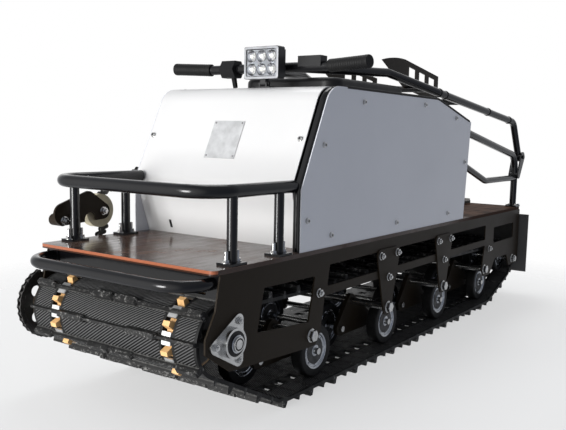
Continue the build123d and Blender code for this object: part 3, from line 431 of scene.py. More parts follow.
class SnowTugColours(bpy.types.PropertyGroup):
    """Finish colours."""

    deck_film: colour_property("Deck film", "Brown phenolic film on the deck", (0.036, 0.019, 0.014))
    deck_edge: colour_property("Deck edge", "Painted front edge of the deck", (0.46, 0.15, 0.075))
    plate: colour_property("Plates", "Satin paint on the cut plates", (0.022, 0.016, 0.010))
    pipe: colour_property("Tubes", "Gloss paint on the tubes", (0.006, 0.006, 0.007))
    cowl: colour_property("Cowl", "Powder coat on the cowl's front, top and rear", (0.77, 0.766, 0.76))
    # Side sheets: the cowl's white coat made greyer and bluer, as painted shade
    cowl_side: colour_property("Cowl sides", "The cowl's white powder coat on the side sheets, greyer and bluer as painted shade", (0.72, 0.735, 0.78))
    rubber: colour_property("Rubber", "Track and tyre rubber", (0.010, 0.010, 0.010))
    sprocket: colour_property("Sprockets", "Cast drive sprockets", (0.93, 0.56, 0.24))
    roller: colour_property("Roller", "Chain roller", (0.80, 0.72, 0.50))


class SnowTugSizes(bpy.types.PropertyGroup):
    """Sizes of the dressed pieces, in millimetres, and the lights' power."""

    rib: size_property("Rib", "Height of the low rib between paddles, mm", 9.0, 1.0, LUG_H)
    bolt: size_property("Bolt", "Thread size of the plate bolts, mm", 10.0, 4.0, 16.0)
    screw: size_property("Screw", "Thread size of the cowl screws, mm", 6.5, 3.0, 10.0)
    light: bpy.props.FloatProperty(name="Light", description="Power that the soft boxes take shares of",
                                   default=8.0, min=0.0, unit="POWER")


def settings():
    """The scene's finish colours and the sizes of its dressed pieces."""
    scene = bpy.context.scene
    return scene.snow_tug_colours, scene.snow_tug_sizes


def tinted(colour, share):
    """A share of a colour."""
    return tuple(c * share for c in colour)


def deck_ply():
    """Film-faced ply: brown film above, painted front edge and bare ply stripes at the sides."""
    colours, _ = settings()
    shader = Shader("deck ply")
    place = shader.place()
    film_t, ply_t, stripe_half, front_depth, dark_ply = 0.0006, 0.0025, 0.0007, 0.013, 0.0036
    fade_start, fade_end = DECK_LOW[1] + 1.05, DECK_LOW[1] + 1.30
    _, y, z = shader.axes(place)
    fine = shader.noise(900.0, 2.0)
    cloud = shader.noise(9.0, 5.0, 0.65)
    stretched = shader.add("ShaderNodeMapping", None, {"Vector": place, "Scale": (60.0, 3.0, 1.0)})
    streak = shader.noise(1.0, 4.0, place=stretched)
    worn = shader.limit(cloud + 0.5 * streak, 0.62, 0.95)
    film = shader.mix(worn, colours.deck_film, (0.150, 0.095, 0.072))
    on_top = z > DECK_HIGH[2] - film_t
    rear = shader.limit(y, fade_start, fade_end)
    at_front = y < DECK_LOW[1] + front_depth
    plies = abs((z - DECK_LOW[2]) % ply_t - ply_t / 2) > stripe_half
    stripe = shader.mix(plies, colours.deck_edge, tinted(colours.deck_edge, 0.55))
    front = shader.mix(z > DECK_LOW[2] + dark_ply, (0.05, 0.022, 0.014), stripe)
    side = shader.mix(plies, (0.060, 0.032, 0.022), (0.030, 0.017, 0.013))
    edge = shader.mix(at_front, side, front)
    return shader.look(Base_Color=shader.mix(on_top, edge, film),
                       Roughness=0.16 + 0.22 * worn, Specular_IOR_Level=0.0,
                       Coat_Weight=(1.0 - 0.93 * rear) * (1.0 - 0.5 * worn), Coat_Roughness=0.16,
                       Normal=shader.bump(fine + streak, 0.10, 0.0005))


def painted(name, colour, rough, grain, sheen, dusting):
    """Paint on steel: slow patches in gloss, a fine orange-peel grain and faint dust."""
    shader = Shader(name)
    cloud = shader.noise(7.0, 5.0)
    peel = shader.noise(grain, 2.0)
    dust = shader.limit(shader.noise(34.0, 6.0, 0.7), 0.58, 0.78)
    dusty = tuple(min(1.0, c * 1.4 + 0.012) for c in colour)
    return shader.look(Base_Color=shader.mix(dust * dusting, colour, dusty),
                       Roughness=rough + 0.18 * (cloud - 0.5) + 0.12 * dust,
                       Normal=shader.bump(peel, 0.12, 0.0005),
                       Specular_IOR_Level=sheen)


def coated_sheet(name, colour):
    """Smooth powder coat with a faint peel."""
    shader = Shader(name)
    cloud = shader.noise(5.0, 3.0)
    peel = shader.noise(420.0, 2.0)
    shade = shader.mix(shader.limit(cloud, 0.3, 0.7), colour, tinted(colour, 0.96))
    return shader.look(Base_Color=shade, Roughness=0.30 + 0.12 * cloud,
                       Normal=shader.bump(peel, 0.06, 0.0004), Coat_Weight=0.25, Coat_Roughness=0.1)


def plated(name, colour, rough):
    """Bright zinc: metal with fine scratches and dull patches."""
    shader = Shader(name)
    patch = shader.noise(60.0, 4.0)
    scratch = shader.noise(700.0, 1.0)
    tint = shader.mix(shader.limit(patch, 0.4, 0.7), colour, tinted(colour, 0.72))
    return shader.look(Base_Color=tint, Metallic=1.0, Roughness=rough + 0.22 * patch,
                       Normal=shader.bump(scratch, 0.08, 0.0003))


def rubber(name, scuffed, paler=1.0):
    """Matt rubber with a fine grain and grey scuffs."""
    colours, _ = settings()
    shader = Shader(name)
    scuff = shader.limit(shader.noise(26.0, 6.0, 0.65), 0.52, 0.75)
    grain = shader.noise(800.0, 2.0)
    return shader.look(
        Base_Color=shader.mix(scuff * scuffed, tinted(colours.rubber, paler), (0.055, 0.054, 0.052)),
        Roughness=0.55 + 0.2 * scuff, Specular_IOR_Level=0.22,
        Normal=shader.bump(grain, 0.2, 0.0006))


def belt_rubber():
    """Track rubber: a diagonal hatch on the flats, its lines pale as painted highlight and its gaps
    near-black as painted shade; plain margins; a thin pale band low on the lug flanks as painted highlight;
    and lugs grey at their tips from wear and painted highlight.

    The belt attribute holds each point's place across the belt, along it, and its height over the flat.
    """
    colours, _ = settings()
    shader = Shader("belt rubber")
    belt = shader.add("ShaderNodeAttribute", {"attribute_name": "belt"}, output="Vector")
    across, along, height = shader.axes(belt)
    hatch = abs((across * HATCH_SLOPE + along) % HATCH - HATCH / 2) / HATCH * 2
    strip_half, margin_x, flat_rise = 0.021, 0.243, 0.0006
    strip = abs(abs(across) - WINDOW_MIDDLE * MM)
    inside = (strip > strip_half) * (abs(across) < margin_x) * (height < flat_rise)
    lines = shader.limit(hatch, 0.42, 0.74) * inside
    # Painted highlight: a thin pale band low on each lug flank
    foot = shader.limit(height, 0.0005, 0.0012) * (1.0 - shader.limit(height, 0.0025, 0.0040))
    scuff = shader.limit(shader.noise(60.0, 6.0, 0.7), 0.46, 0.72)
    chip = shader.limit(shader.noise(110.0, 4.0, 0.8), 0.54, 0.64)
    # Grey lug tips: wear, and painted highlight on the lug edges
    worn = shader.limit(height, 0.006, 0.010) * (0.04 + 0.96 * chip)
    grain = shader.noise(700.0, 2.0)
    # Painted light: hatch lines paler than the rubber as painted highlight, the gaps near-black as painted
    # shade
    flat = shader.mix(lines, tinted(colours.rubber, 0.05), tinted(colours.rubber, 11.5))
    plain = shader.mix(scuff * 0.4, colours.rubber, (0.040, 0.040, 0.040))
    shade = shader.mix(inside, plain, flat)
    shade = shader.mix(foot * (0.3 + 0.7 * scuff), shade, (0.15, 0.148, 0.14))
    return shader.look(
        Base_Color=shader.mix(worn * 0.9, shade, (0.26, 0.256, 0.245)),
        Roughness=0.46 + 0.25 * scuff, Specular_IOR_Level=0.2,
        Normal=shader.bump(lines + 0.1 * grain, 0.7, 0.0016))


def moulded(name, colour, rough, sheen=0.5):
    """Cast plastic with a soft mottle."""
    shader = Shader(name)
    cloud = shader.noise(40.0, 4.0)
    grain = shader.noise(600.0, 2.0)
    shade = shader.mix(shader.limit(cloud, 0.35, 0.75), colour, tinted(colour, 0.7))
    return shader.look(Base_Color=shade, Roughness=rough + 0.15 * cloud, Specular_IOR_Level=sheen,
                       Normal=shader.bump(grain, 0.1, 0.0004))


def sprocket_cast():
    """Cast sprocket: cream teeth, and a near-black disc inside them that is painted shade of the recess
    between belt and plate.
    """
    colours, _ = settings()
    shader = Shader("sprocket cast")
    _, y, z = shader.axes(shader.place())
    y, z = y - (ORIGIN[1] + DRIVE_Y * MM), z - DRIVE_Z * MM
    cloud = shader.noise(60.0, 4.0)
    # Painted shade: the disc inside the teeth is turned near-black, for the shade between belt and side
    # plate
    disc_painted_shade = shader.limit((y * y + z * z) + 0.0010 * (cloud - 0.5), 0.0041, 0.0050)
    tooth = shader.mix(shader.limit(cloud, 0.4, 0.75), colours.sprocket, tinted(colours.sprocket, 0.75))
    return shader.look(Base_Color=shader.mix(disc_painted_shade, (0.016, 0.014, 0.012), tooth),
                       Roughness=0.36 + 0.15 * cloud, Normal=shader.bump(cloud, 0.15, 0.0008))


def lens_glass():
    """Clear lens with a faint haze of fine scratches."""
    shader = Shader("lamp glass")
    haze = shader.limit(shader.noise(120.0, 5.0, 0.7), 0.45, 0.75)
    ripple = shader.noise(260.0, 2.0)
    return shader.look(Base_Color=shader.mix(haze, (0.95, 0.97, 1.0), (0.90, 0.92, 0.94)),
                       Roughness=0.03 + 0.09 * haze, Normal=shader.bump(ripple, 0.03, 0.0003),
                       Transmission_Weight=1.0, IOR=1.45)


def lamp_chip():
    """Bright lamp chip with a pale face."""
    shader = Shader("lamp chip")
    cloud = shader.noise(300.0, 2.0)
    return shader.look(Base_Color=(0.92, 0.90, 0.80), Roughness=0.25 + 0.2 * cloud,
                       Emission_Color=(1.0, 0.97, 0.9), Emission_Strength=0.6)


FINISHES = {}


def make_finishes():
    """One material for each of the record's slots, one for the side sheets, whose greyer coat is painted
    shade, and one for bright discs.
    """
    colours, _ = settings()
    FINISHES.update({
        "deck_ply": deck_ply(),
        "black_plate": painted("black plate", colours.plate, 0.44, 500.0, 0.12, 0.5),
        "black_tube": painted("black tube", colours.pipe, 0.15, 300.0, 0.45, 0.15),
        "white_sheet": coated_sheet("white sheet", colours.cowl),
        # The side sheets' greyer, bluer coat is painted shade
        "side_sheet_painted_shade": coated_sheet("side sheet", colours.cowl_side),
        "zinc_steel": plated("zinc steel", (0.68, 0.68, 0.67), 0.10),
        "bright_steel": plated("bright steel", (0.52, 0.54, 0.57), 0.03),
        "chain_steel": plated("chain steel", (0.16, 0.155, 0.15), 0.30),
        "track_rubber": belt_rubber(),
        "wheel_rubber": rubber("wheel rubber", 0.25),
        # The flap's base is 8 times paler than the rubber: painted light that lifts its dim side
        "flap_rubber": rubber("flap rubber painted light", 0.6, 8.0),
        "grip_rubber": rubber("grip rubber", 0.15),
        "sprocket_plastic": sprocket_cast(),
        "roller_cream": moulded("roller cream", colours.roller, 0.42),
        "control_plastic": moulded("control plastic", (0.012, 0.012, 0.013), 0.34, 0.28),
        "engine_iron": plated("engine iron", (0.12, 0.12, 0.12), 0.45),
        "lamp_metal": painted("lamp metal", (0.020, 0.020, 0.021), 0.35, 500.0, 0.5, 0.4),
        "lamp_glass": lens_glass(),
    })


class TUG_OT_finishes(bpy.types.Operator):
    """Give every node of the frame the finish of its slot, and the cowl's sides a greyer copy of the cowl's
    coat as painted shade
    """
    bl_idname = "snow_tug.finishes"
    bl_label = "Finishes"

    def execute(self, context):
        make_finishes()
        for row in frame["record"]["subparts"]:
            mesh = frame["nodes"][row["node"]].data
            mesh.materials.clear()
            # Side sheets take the greyer coat that is painted shade
            side = row["node"] in ("cowl_side_left", "cowl_side_right")
            mesh.materials.append(FINISHES["side_sheet_painted_shade" if side else row["material_slot"]])
        return {"FINISHED"}


PADDLES = (
    # low and high x of the tall paddles, for even and for odd rows
    ((-250.0, -196.0), (-66.0, -5.0), (5.0, 66.0), (196.0, 250.0)),
    ((-148.0, -70.0), (70.0, 148.0)),
)
PADDLE_SLOPE = 5.0
SEAM_PITCHES = 20


def track_surface(rib):
    """The belt as two grids over length and width, outer and inner, with its windows left open.

    Height over the belt's middle = half the belt + the larger of a low rib that runs right across
    and a tall trapezoid on the row's paddles; both depend on the length from the window's middle.
    The grid starts on the ground run, where its seam lies out of sight.
    """
    lug_middle = TRACK_PITCH / 2
    rib_tip, rib_foot, lug_tip, lug_foot = 2.2, 4.5, 4.5, 8.0
    half = WINDOW_L / 2
    offsets = (-lug_foot, -lug_tip, -rib_tip, 0.0, rib_tip, lug_tip, lug_foot)
    marks = np.array([-half, -half / 3, half / 3, half, *(lug_middle + offset for offset in offsets)])
    edges = np.unique([edge for row in PADDLES for pair in row for edge in pair])
    ends = np.unique([edge + way * PADDLE_SLOPE for row in PADDLES for low, high in row
                      for edge, way in ((low, -1), (high, 1)) if abs(edge) < TRACK_W / 2])
    width = np.unique(np.concatenate([edges, ends, [WINDOW_IN, WINDOW_OUT, -WINDOW_IN, -WINDOW_OUT, 0.0]]))
    row_number = np.repeat(np.arange(TRACK_COUNT) + SEAM_PITCHES, len(marks))
    along = np.tile(marks, TRACK_COUNT)
    lengths = window_start() + row_number * TRACK_PITCH + along
    points, out, _, _ = belt_line(TRACK_WHEELS, lengths)
    away = np.abs(along - lug_middle)
    low_lug = np.clip((rib_foot - away) / (rib_foot - rib_tip), 0.0, 1.0)
    tall_lug = np.clip((lug_foot - away) / (lug_foot - lug_tip), 0.0, 1.0)
    masks = [np.any([(width >= low) & (width <= high) for low, high in row], axis=0) for row in PADDLES]
    paddle = np.where(row_number[:, None] % 2 == 0, *masks)
    height = np.maximum(rib * low_lug[:, None], LUG_H * tall_lug[:, None] * paddle)

    def skin(rise):
        """The grid of points at a rise from the belt's middle."""
        y, z = (points[:, axis, None] + out[:, axis, None] * rise for axis in (0, 1))
        return stacked(width, y, z)

    rows, columns = len(lengths), len(width)
    outer = skin(BELT_T / 2 + height)
    inner = skin(-BELT_T / 2)
    quads = grid_quads(rows, columns, close_rows=True)
    row_of, column_of = np.divmod(np.arange(len(quads)), columns - 1)
    hole_row = np.isin(row_of % len(marks), (0, 1, 2))
    middles = np.abs((width[:-1] + width[1:]) / 2)
    hole_column = (middles > WINDOW_IN) & (middles < WINDOW_OUT)
    hole = hole_row & hole_column[column_of]
    shift = rows * columns
    open_quads = quads[~hole]
    number = np.arange(shift).reshape(rows, columns)

    def wall(line):
        """Quads between the outer and inner copies of a line of points."""
        first, second = line[..., :-1].ravel(), line[..., 1:].ravel()
        return stacked(first, second, second + shift, first + shift)

    walls = [wall(np.append(number[:, side], number[0, side])) for side in (0, -1)]
    for column in np.flatnonzero(hole_column):
        for row in (0, 3):
            walls.append(wall(number[row::len(marks), column:column + 2]))
    for x_edge in (WINDOW_IN, WINDOW_OUT, -WINDOW_IN, -WINDOW_OUT):
        column = int(np.flatnonzero(width == x_edge)[0])
        walls.append(wall(number[:, column].reshape(TRACK_COUNT, len(marks))[:, :4]))
    belt = stacked(width, lengths[:, None], height).reshape(-1, 3)
    return Surface([outer, inner], [open_quads, open_quads[:, ::-1] + shift, *walls],
                   {"belt": np.concatenate([belt, belt])})


def belt_frames(out):
    """One matrix for each outward normal of a belt: its rows are X, the belt's way and the normal."""
    y, z = out.T
    zero = np.zeros(len(out))
    return np.stack([stacked(zero + 1.0, zero, zero), stacked(zero, -z, y), stacked(zero, y, z)], axis=1)


class TUG_OT_track(bpy.types.Operator):
    """Build the lugged rubber belt and the steel clips between its windows"""
    bl_idname = "snow_tug.track"
    bl_label = "Track"

    def execute(self, context):
        _, sizes = settings()
        put("track_belt", track_surface(sizes.rib), "track_rubber", replaces=["track"])
        width, length, thickness, edge = 25.0, 8.4, 3.4, 1.0
        step, lift = 8.6, 0.4
        middles = window_start() + (np.arange(TRACK_COUNT) + 0.5) * TRACK_PITCH
        points, out, _, _ = belt_line(TRACK_WHEELS, np.concatenate([middles - step, middles + step]))
        shape = box_shape(width, length, thickness, edge)
        places = points + out * (BELT_T / 2 + lift)
        clips = [scatter(shape, np.insert(places, 0, side * WINDOW_MIDDLE, axis=1), belt_frames(out))
                 for side in (1, -1)]
        put("track_clips", join(clips), "zinc_steel", finish=plated("clip steel", (0.92, 0.92, 0.91), 0.36))
        return {"FINISHED"}


def tyre_profile(diameter, rim_r):
    """Closed (x, r) profile of a tyre just clear of the belt: flat tread, quarter-circle shoulders."""
    clearance, shoulder, rim_step = 0.3, 4.0, 1.0
    half, outer = WHEEL_W / 2, diameter / 2 - clearance
    turn = np.linspace(0.0, math.pi / 2, 5)
    right = stacked(half - shoulder + shoulder * np.sin(turn), outer - shoulder + shoulder * np.cos(turn))
    left = right[::-1] * (-1.0, 1.0)
    return np.concatenate([left, right, [(half - rim_step, rim_r), (rim_step - half, rim_r)], left[:1]])


def disc_profile(rim_r):
    """Closed (x, r) profile of a pressed disc: rolled rim, step, dish, raised hub."""
    side = np.array([
        # x from the wheel's middle and radius
        (15.0, rim_r), (15.8, rim_r - 1.4), (15.6, rim_r - 3.4), (14.4, rim_r - 5.0), (12.4, rim_r - 6.2),
        (11.4, rim_r - 8.6), (11.6, rim_r - 11.4), (12.6, 25.6), (12.2, 23.6), (9.0, 21.6), (8.6, 17.0),
        (9.2, 15.4), (13.4, 14.4), (14.0, 13.0), (14.0, 8.2)])
    return np.concatenate([side, side[::-1] * (-1.0, 1.0), side[:1]])


def wheel_rivets(rim_r):
    """Eight rivets on each face of a wheel's disc: a dome (h sin a, r cos a) turned about X, on a circle."""
    height, radius, circle_r, seat_x, count = 1.8, 2.6, rim_r - 10.0, 11.3, 8
    turn = np.linspace(0.0, math.pi / 2, 4)
    profile = stacked(height * np.sin(turn), radius * np.cos(turn))
    dome = lathe(np.concatenate([[(0.0, 0.0)], profile]), 10)
    return placed(dome, [((side * seat_x, circle_r * math.cos(angle), circle_r * math.sin(angle)),
                          (side, 0.0, 0.0))
                         for side in (1.0, -1.0) for angle in np.arange(count) * math.tau / count])


def wheel_plates(rim_r):
    """A flat dark ring on each face of a wheel's disc, between its hub and its rivets."""
    inner, outer, low, high = 15.0, rim_r - 13.0, 9.4, 12.9
    ring = lathe([(low, inner), (high, inner), (high, outer), (low, outer), (low, inner)], 40)
    return join([ring, ring.turned(np.diag([-1.0, 1.0, 1.0]))])


class TUG_OT_wheels(bpy.types.Operator):
    """Turn the road wheels and idlers: rubber tyres on pressed zinc discs"""
    bl_idname = "snow_tug.wheels"
    bl_label = "Wheels"

    def execute(self, context):
        places = [(side * x, y + reach, WHEEL_Z) for y in PIVOTS for side in (1, -1)
                  for x, reach in ((OUTER_WHEEL_X, TRAIL_REACH), (INNER_WHEEL_X, -LEAD_REACH))]
        idlers = [(side * x, IDLER_Y, IDLER_Z) for x in (OUTER_WHEEL_X, INNER_WHEEL_X) for side in (1, -1)]
        rows = (("road_wheel", WHEEL_D, WHEEL_RIM_R, places, "road_wheels"),
                ("rear_idler", IDLER_D, IDLER_RIM_R, idlers, "rear_idler_wheels"))
        for name, diameter, rim_r, spots, node in rows:
            pieces = (("tyres", lathe(tyre_profile(diameter, rim_r), 48), "wheel_rubber", "wheel_rubber"),
                      ("discs", lathe(disc_profile(rim_r), 40), "zinc_steel", "bright_steel"),
                      ("rivets", wheel_rivets(rim_r), "zinc_steel", "bright_steel"),
                      ("plates", wheel_plates(rim_r), "zinc_steel", "engine_iron"))
            for kind, shape, slot, finish in pieces:
                put(f"{name}_{kind}", scatter(shape, spots), slot, finish=FINISHES[finish], replaces=[node])
        return {"FINISHED"}


def link_plate(thickness):
    """A chain plate along Y: half circles at both eyes, joined by straight lines to a narrower waist."""
    reach, eye, waist = CHAIN_PITCH / 2, 5.8, 4.3
    turn = np.linspace(-math.pi / 2, math.pi / 2, 9)
    right = stacked(reach + eye * np.cos(turn), eye * np.sin(turn))
    ring = np.concatenate([right, [(0.0, waist)], -right, [(0.0, -waist)]])
    count = len(ring)
    layers = [stacked(x, *ring.T) for x in (-thickness / 2, thickness / 2)]
    ends = [np.arange(count)[None, ::-1], (np.arange(count) + count)[None]]
    return Surface(layers, [grid_quads(2, count, close_columns=True), *ends])


def toothed_ring(teeth):
    """The chain wheel's rim about X: outer radius = middle radius + height cos(teeth a), edges bevelled."""
    inner_r, middle_r, height = 70.0, 80.5, 4.0
    half, flat, bevel = 2.8, 1.6, 1.6
    angle = np.arange(teeth * 8) * math.tau / (teeth * 8)
    reach = middle_r + height * np.cos(teeth * angle)
    rows = ((-half, inner_r), (-half, reach - bevel), (-flat, reach), (flat, reach), (half, reach - bevel),
            (half, inner_r), (-half, inner_r))
    rings = [stacked(x, r * np.cos(angle), r * np.sin(angle)) for x, r in rows]
    return Surface(rings, [grid_quads(len(rings), len(angle), close_columns=True)])


class TUG_OT_chain(bpy.types.Operator):
    """Lay the roller chain's links along its path, and cut the chain wheel's teeth"""
    bl_idname = "snow_tug.chain"
    bl_label = "Chain"

    def execute(self, context):
        _, _, total, _ = belt_line(CHAIN_WHEELS, [0.0])
        count = 2 * round(total / CHAIN_PITCH / 2)
        pitch = total / count
        points, out, _, _ = belt_line(CHAIN_WHEELS, (np.arange(count) + 0.5) * pitch)
        pins, _, _, _ = belt_line(CHAIN_WHEELS, np.arange(count) * pitch)
        matrices = belt_frames(out)
        inner_x, outer_x, plate_t = 4.0, 5.9, 1.6
        plate = link_plate(plate_t)
        pieces = []
        for parity, offset in ((0, inner_x), (1, outer_x)):
            pick = np.arange(count) % 2 == parity
            for side in (1, -1):
                spots = np.insert(points[pick], 0, CHAIN_X + side * offset, axis=1)
                pieces.append(scatter(plate, spots, matrices[pick]))
        end, pin_r, step, roller_r = 6.9, 2.2, 3.0, 4.6
        pin = lathe([(-end, 0.0), (-end, pin_r), (-step, pin_r), (-step, roller_r), (step, roller_r),
                     (step, pin_r), (end, pin_r), (end, 0.0)], 10)
        pieces.append(scatter(pin, np.insert(pins, 0, CHAIN_X, axis=1)))
        put("roller_chain", join(pieces), "chain_steel", replaces=["drive_chain"])
        teeth = toothed_ring(CHAIN_TEETH).moved((CHAIN_X, DRIVE_Y, DRIVE_Z))
        put("chain_wheel_teeth", teeth, "chain_steel")
        return {"FINISHED"}


def stud(size, reach):
    """A washer, a nut and a thread end along +X that stands reach above the seat."""
    foot, top, radius = 0.2 * size, reach - 0.12 * size, 0.5 * size
    thread = lathe([(foot, 0.0), (foot, radius), (top, radius), (reach, 0.38 * size), (reach, 0.0)], 12)
    return join([hex_bolt(size), thread])


def both_sides(places, axis):
    """Rows of place and axis for the left side and, mirrored in X, for the right."""
    return [((side * x, y, z), (side * axis[0], *axis[1:])) for side in (1.0, -1.0) for x, y, z in places]


def plate_bolts():
    """Places and axes of the bolts on the hangers, the side plates and the tensioner's arm."""
    arm_x = -HALF_DECK - 6.0
    hangers = [(HALF_DECK + HANGER_T, y + step, z) for y in PIVOTS[1:-1]
               for step, z in ((-46.0, 302.0), (46.0, 302.0), (0.0, 240.0))]
    plates = [(HALF_DECK, 1476.0, 226.0), (HALF_DECK, 366.0, 252.0)]
    arm = [((arm_x, y, z), LEFT) for y, z in ((ROLLER_Y, ROLLER_Z), (72.0, 400.0))]
    return both_sides(hangers + plates, LEFT) + arm


def flange_bolts():
    """Places and axes of the small bolts in the bearing flanges' corners."""
    return both_sides([(HALF_DECK + FLANGE_T, DRIVE_Y + FLANGE_BOLT_R * math.cos(turn),
                        DRIVE_Z + FLANGE_BOLT_R * math.sin(turn))
                       for turn in np.radians((60.0, 180.0, 300.0))], LEFT)


def shaft_nuts():
    """Places and axes of the nuts on the pivot shafts and the idler axle."""
    pivots = [(HALF_DECK + (HANGER_T if y in PIVOTS[1:-1] else 0.0), y, PIVOT_Z) for y in PIVOTS]
    return both_sides([*pivots, (HALF_DECK, IDLER_Y, IDLER_Z)], LEFT)


def sheet_frame(lower, upper, x, z):
    """A spot on the cowl's front between two of its (y, z) corners, and its matrix: outward, X, up."""
    run = np.subtract(upper, lower)
    up = np.array([0.0, *run]) / np.linalg.norm(run)
    out = np.array([0.0, -up[2], up[1]])
    spot = np.array([x, lower[0] + run[0] * (z - lower[1]) / run[1], z])
    return spot, np.stack([out, LEFT, up])


def cowl_screws():
    """Places and axes of the screws in the cowl's sheets."""
    slope_z, rear_x, rear_axis = 606.0, 210.0, (0.0, 1.0, -0.096)
    rows = both_sides([(COWL_X, y, z) for y, z in (
        (374.0, 594.0), (312.0, 425.0), (550.0, 699.0), (898.0, 708.0), (1126.0, 678.0),
        (1209.0, 540.0), (413.0, 383.0), (746.0, 384.0), (1091.0, 383.0))], LEFT)
    for slope_x in (222.0, -249.0):
        spot, matrix = sheet_frame(COWL_KNEE, COWL_BROW, slope_x, slope_z)
        rows.append((spot, matrix[0]))
    return rows + both_sides([(rear_x, 1240.5, 560.0), (rear_x, 1226.5, 410.0)], rear_axis)


def deck_studs():
    """Places and axes of the studs that hold the rail's post flanges."""
    post_x, step = 242.0, 17.5
    return both_sides([(post_x, y + dy, DECK_TOP + FOOT_T)
                       for y in (80.0, 236.0) for dy in (-step, step)], UP)


def deck_nuts():
    """Places and axes of the nuts on the arch flanges and the tongue."""
    arch_x, arch_y, step, tongue_x = 242.2, 1778.0, 15.5, 42.0
    feet = [(arch_x + dx, arch_y + dy, DECK_TOP + FOOT_T) for dx in (-step, step) for dy in (-step, step)]
    tongue = [(tongue_x, y, DECK_TOP + TONGUE_T) for y in (1708.0, 1772.0)]
    return both_sides(feet + tongue, UP)


class TUG_OT_bolts(bpy.types.Operator):
    """Set the bolts, nuts and screws, and the left bearing's seal and collar"""
    bl_idname = "snow_tug.bolts"
    bl_label = "Bolts"

    def execute(self, context):
        _, sizes = settings()
        groups = (
            # name, places and axes, and shape by thread size and a stud's reach
            ("plate_bolts", plate_bolts(), stud(sizes.bolt, 13.0)),
            ("flange_bolts", flange_bolts(), stud(7.5, 9.0)),
            ("shaft_nuts", shaft_nuts(), hex_bolt(15.0)),
            ("cowl_screws", cowl_screws(), hex_bolt(sizes.screw)),
            ("deck_studs", deck_studs(), stud(8.0, 24.0)),
            ("deck_nuts", deck_nuts(), hex_bolt(7.0)),
        )
        for name, rows, shape in groups:
            put(name, placed(shape, rows), "zinc_steel")
        # Painted shade: a raised black hexagon on each screw head stands for the shade in its socket
        foot, top, low_r, top_r = (share * sizes.screw for share in (0.8, 0.9, 0.5, 0.46))
        socket = lathe([(foot, 0.0), (foot, low_r), (top, top_r), (top, 0.0)], 6)
        put("cowl_screw_sockets_painted_shade", placed(socket, cowl_screws()), "control_plastic")
        seat = (HALF_DECK + BEARING_T, DRIVE_Y, DRIVE_Z)
        # closed (x, r) profiles from the bearing's face
        seal = lathe([(-0.4, 17.4), (-0.4, 26.0), (0.7, 25.6), (1.2, 23.5), (0.9, 19.0), (0.6, 17.4),
                      (-0.4, 17.4)], 40)
        # Painted shade: a thin black ring on the shaft stands for the shade in a groove
        groove_painted_shade = lathe([(7.9, 9.5), (7.9, 12.8), (8.3, 12.4), (8.3, 9.9), (7.9, 9.5)], 32)
        collar = lathe([(-0.4, 15.2), (-0.4, 18.2), (4.2, 18.2), (5.0, 17.4), (5.0, 15.2),
                        (-0.4, 15.2)], 40)
        put("bearing_seal", join([seal, groove_painted_shade]).moved(seat), "control_plastic")
        put("bearing_collar", collar.moved(seat), "zinc_steel", finish=FINISHES["bright_steel"])
        return {"FINISHED"}


class TUG_OT_grips(bpy.types.Operator):
    """Turn the ribbed grips on the swept ends of the bar"""
    bl_idname = "snow_tug.grips"
    bl_label = "Grips"

    def execute(self, context):
        length, radius, depth, pitch = GRIP_L + 3.0, 16.3, 1.1, 7.0
        plain_start, plain_end = 8.0, 14.0
        # the radius less a raised cosine of the length, between two plain ends
        x = np.linspace(0.0, length - 4.0, 80)
        ribbed = (x > plain_start) & (x < length - plain_end)
        ribs = radius - depth * (0.5 + 0.5 * np.cos(x * math.tau / pitch)) * ribbed
        cap = [(length - 1.5, 15.6), (length, 13.5), (length, 0.0)]
        shape = lathe(np.concatenate([[(0.0, 0.0)], stacked(x, ribs), cap]), 32)
        for side, name in ((1, "left"), (-1, "right")):
            knee = np.array([side * KNEE_X, BAR_Y, BAR_Z])
            tip = np.array([side * GRIP_HALF, BAR_Y - GRIP_SWEEP, BAR_Z + GRIP_RISE])
            axis = (tip - knee) / np.linalg.norm(tip - knee)
            grip = placed(shape, [(tip - axis * GRIP_L, axis)])
            put(f"ribbed_grip_{name}", grip, "grip_rubber", "handlebar", replaces=[f"grip_{name}"])
        return {"FINISHED"}


def bezel_ring():
    """A thin frame round the lamp's face: rounded rectangles |x/a|^18 + |z/b|^18 = 1, joined by strips."""
    rectangles = (
        # width, height and y
        (107.0, 79.0, 1.2), (107.0, 79.0, -0.2), (104.0, 76.0, -0.8), (96.5, 68.5, -0.8), (95.5, 67.5, 1.2),
        (107.0, 79.0, 1.2))
    power = 18
    angle = np.linspace(0.0, math.tau, 96, endpoint=False)
    c, s = np.cos(angle), np.sin(angle)
    reach = (np.abs(c) ** power + np.abs(s) ** power) ** (-1 / power)
    rings = [stacked(width / 2 * reach * c, y, height / 2 * reach * s) for width, height, y in rectangles]
    return Surface(rings, [grid_quads(len(rings), len(angle), close_columns=True)])


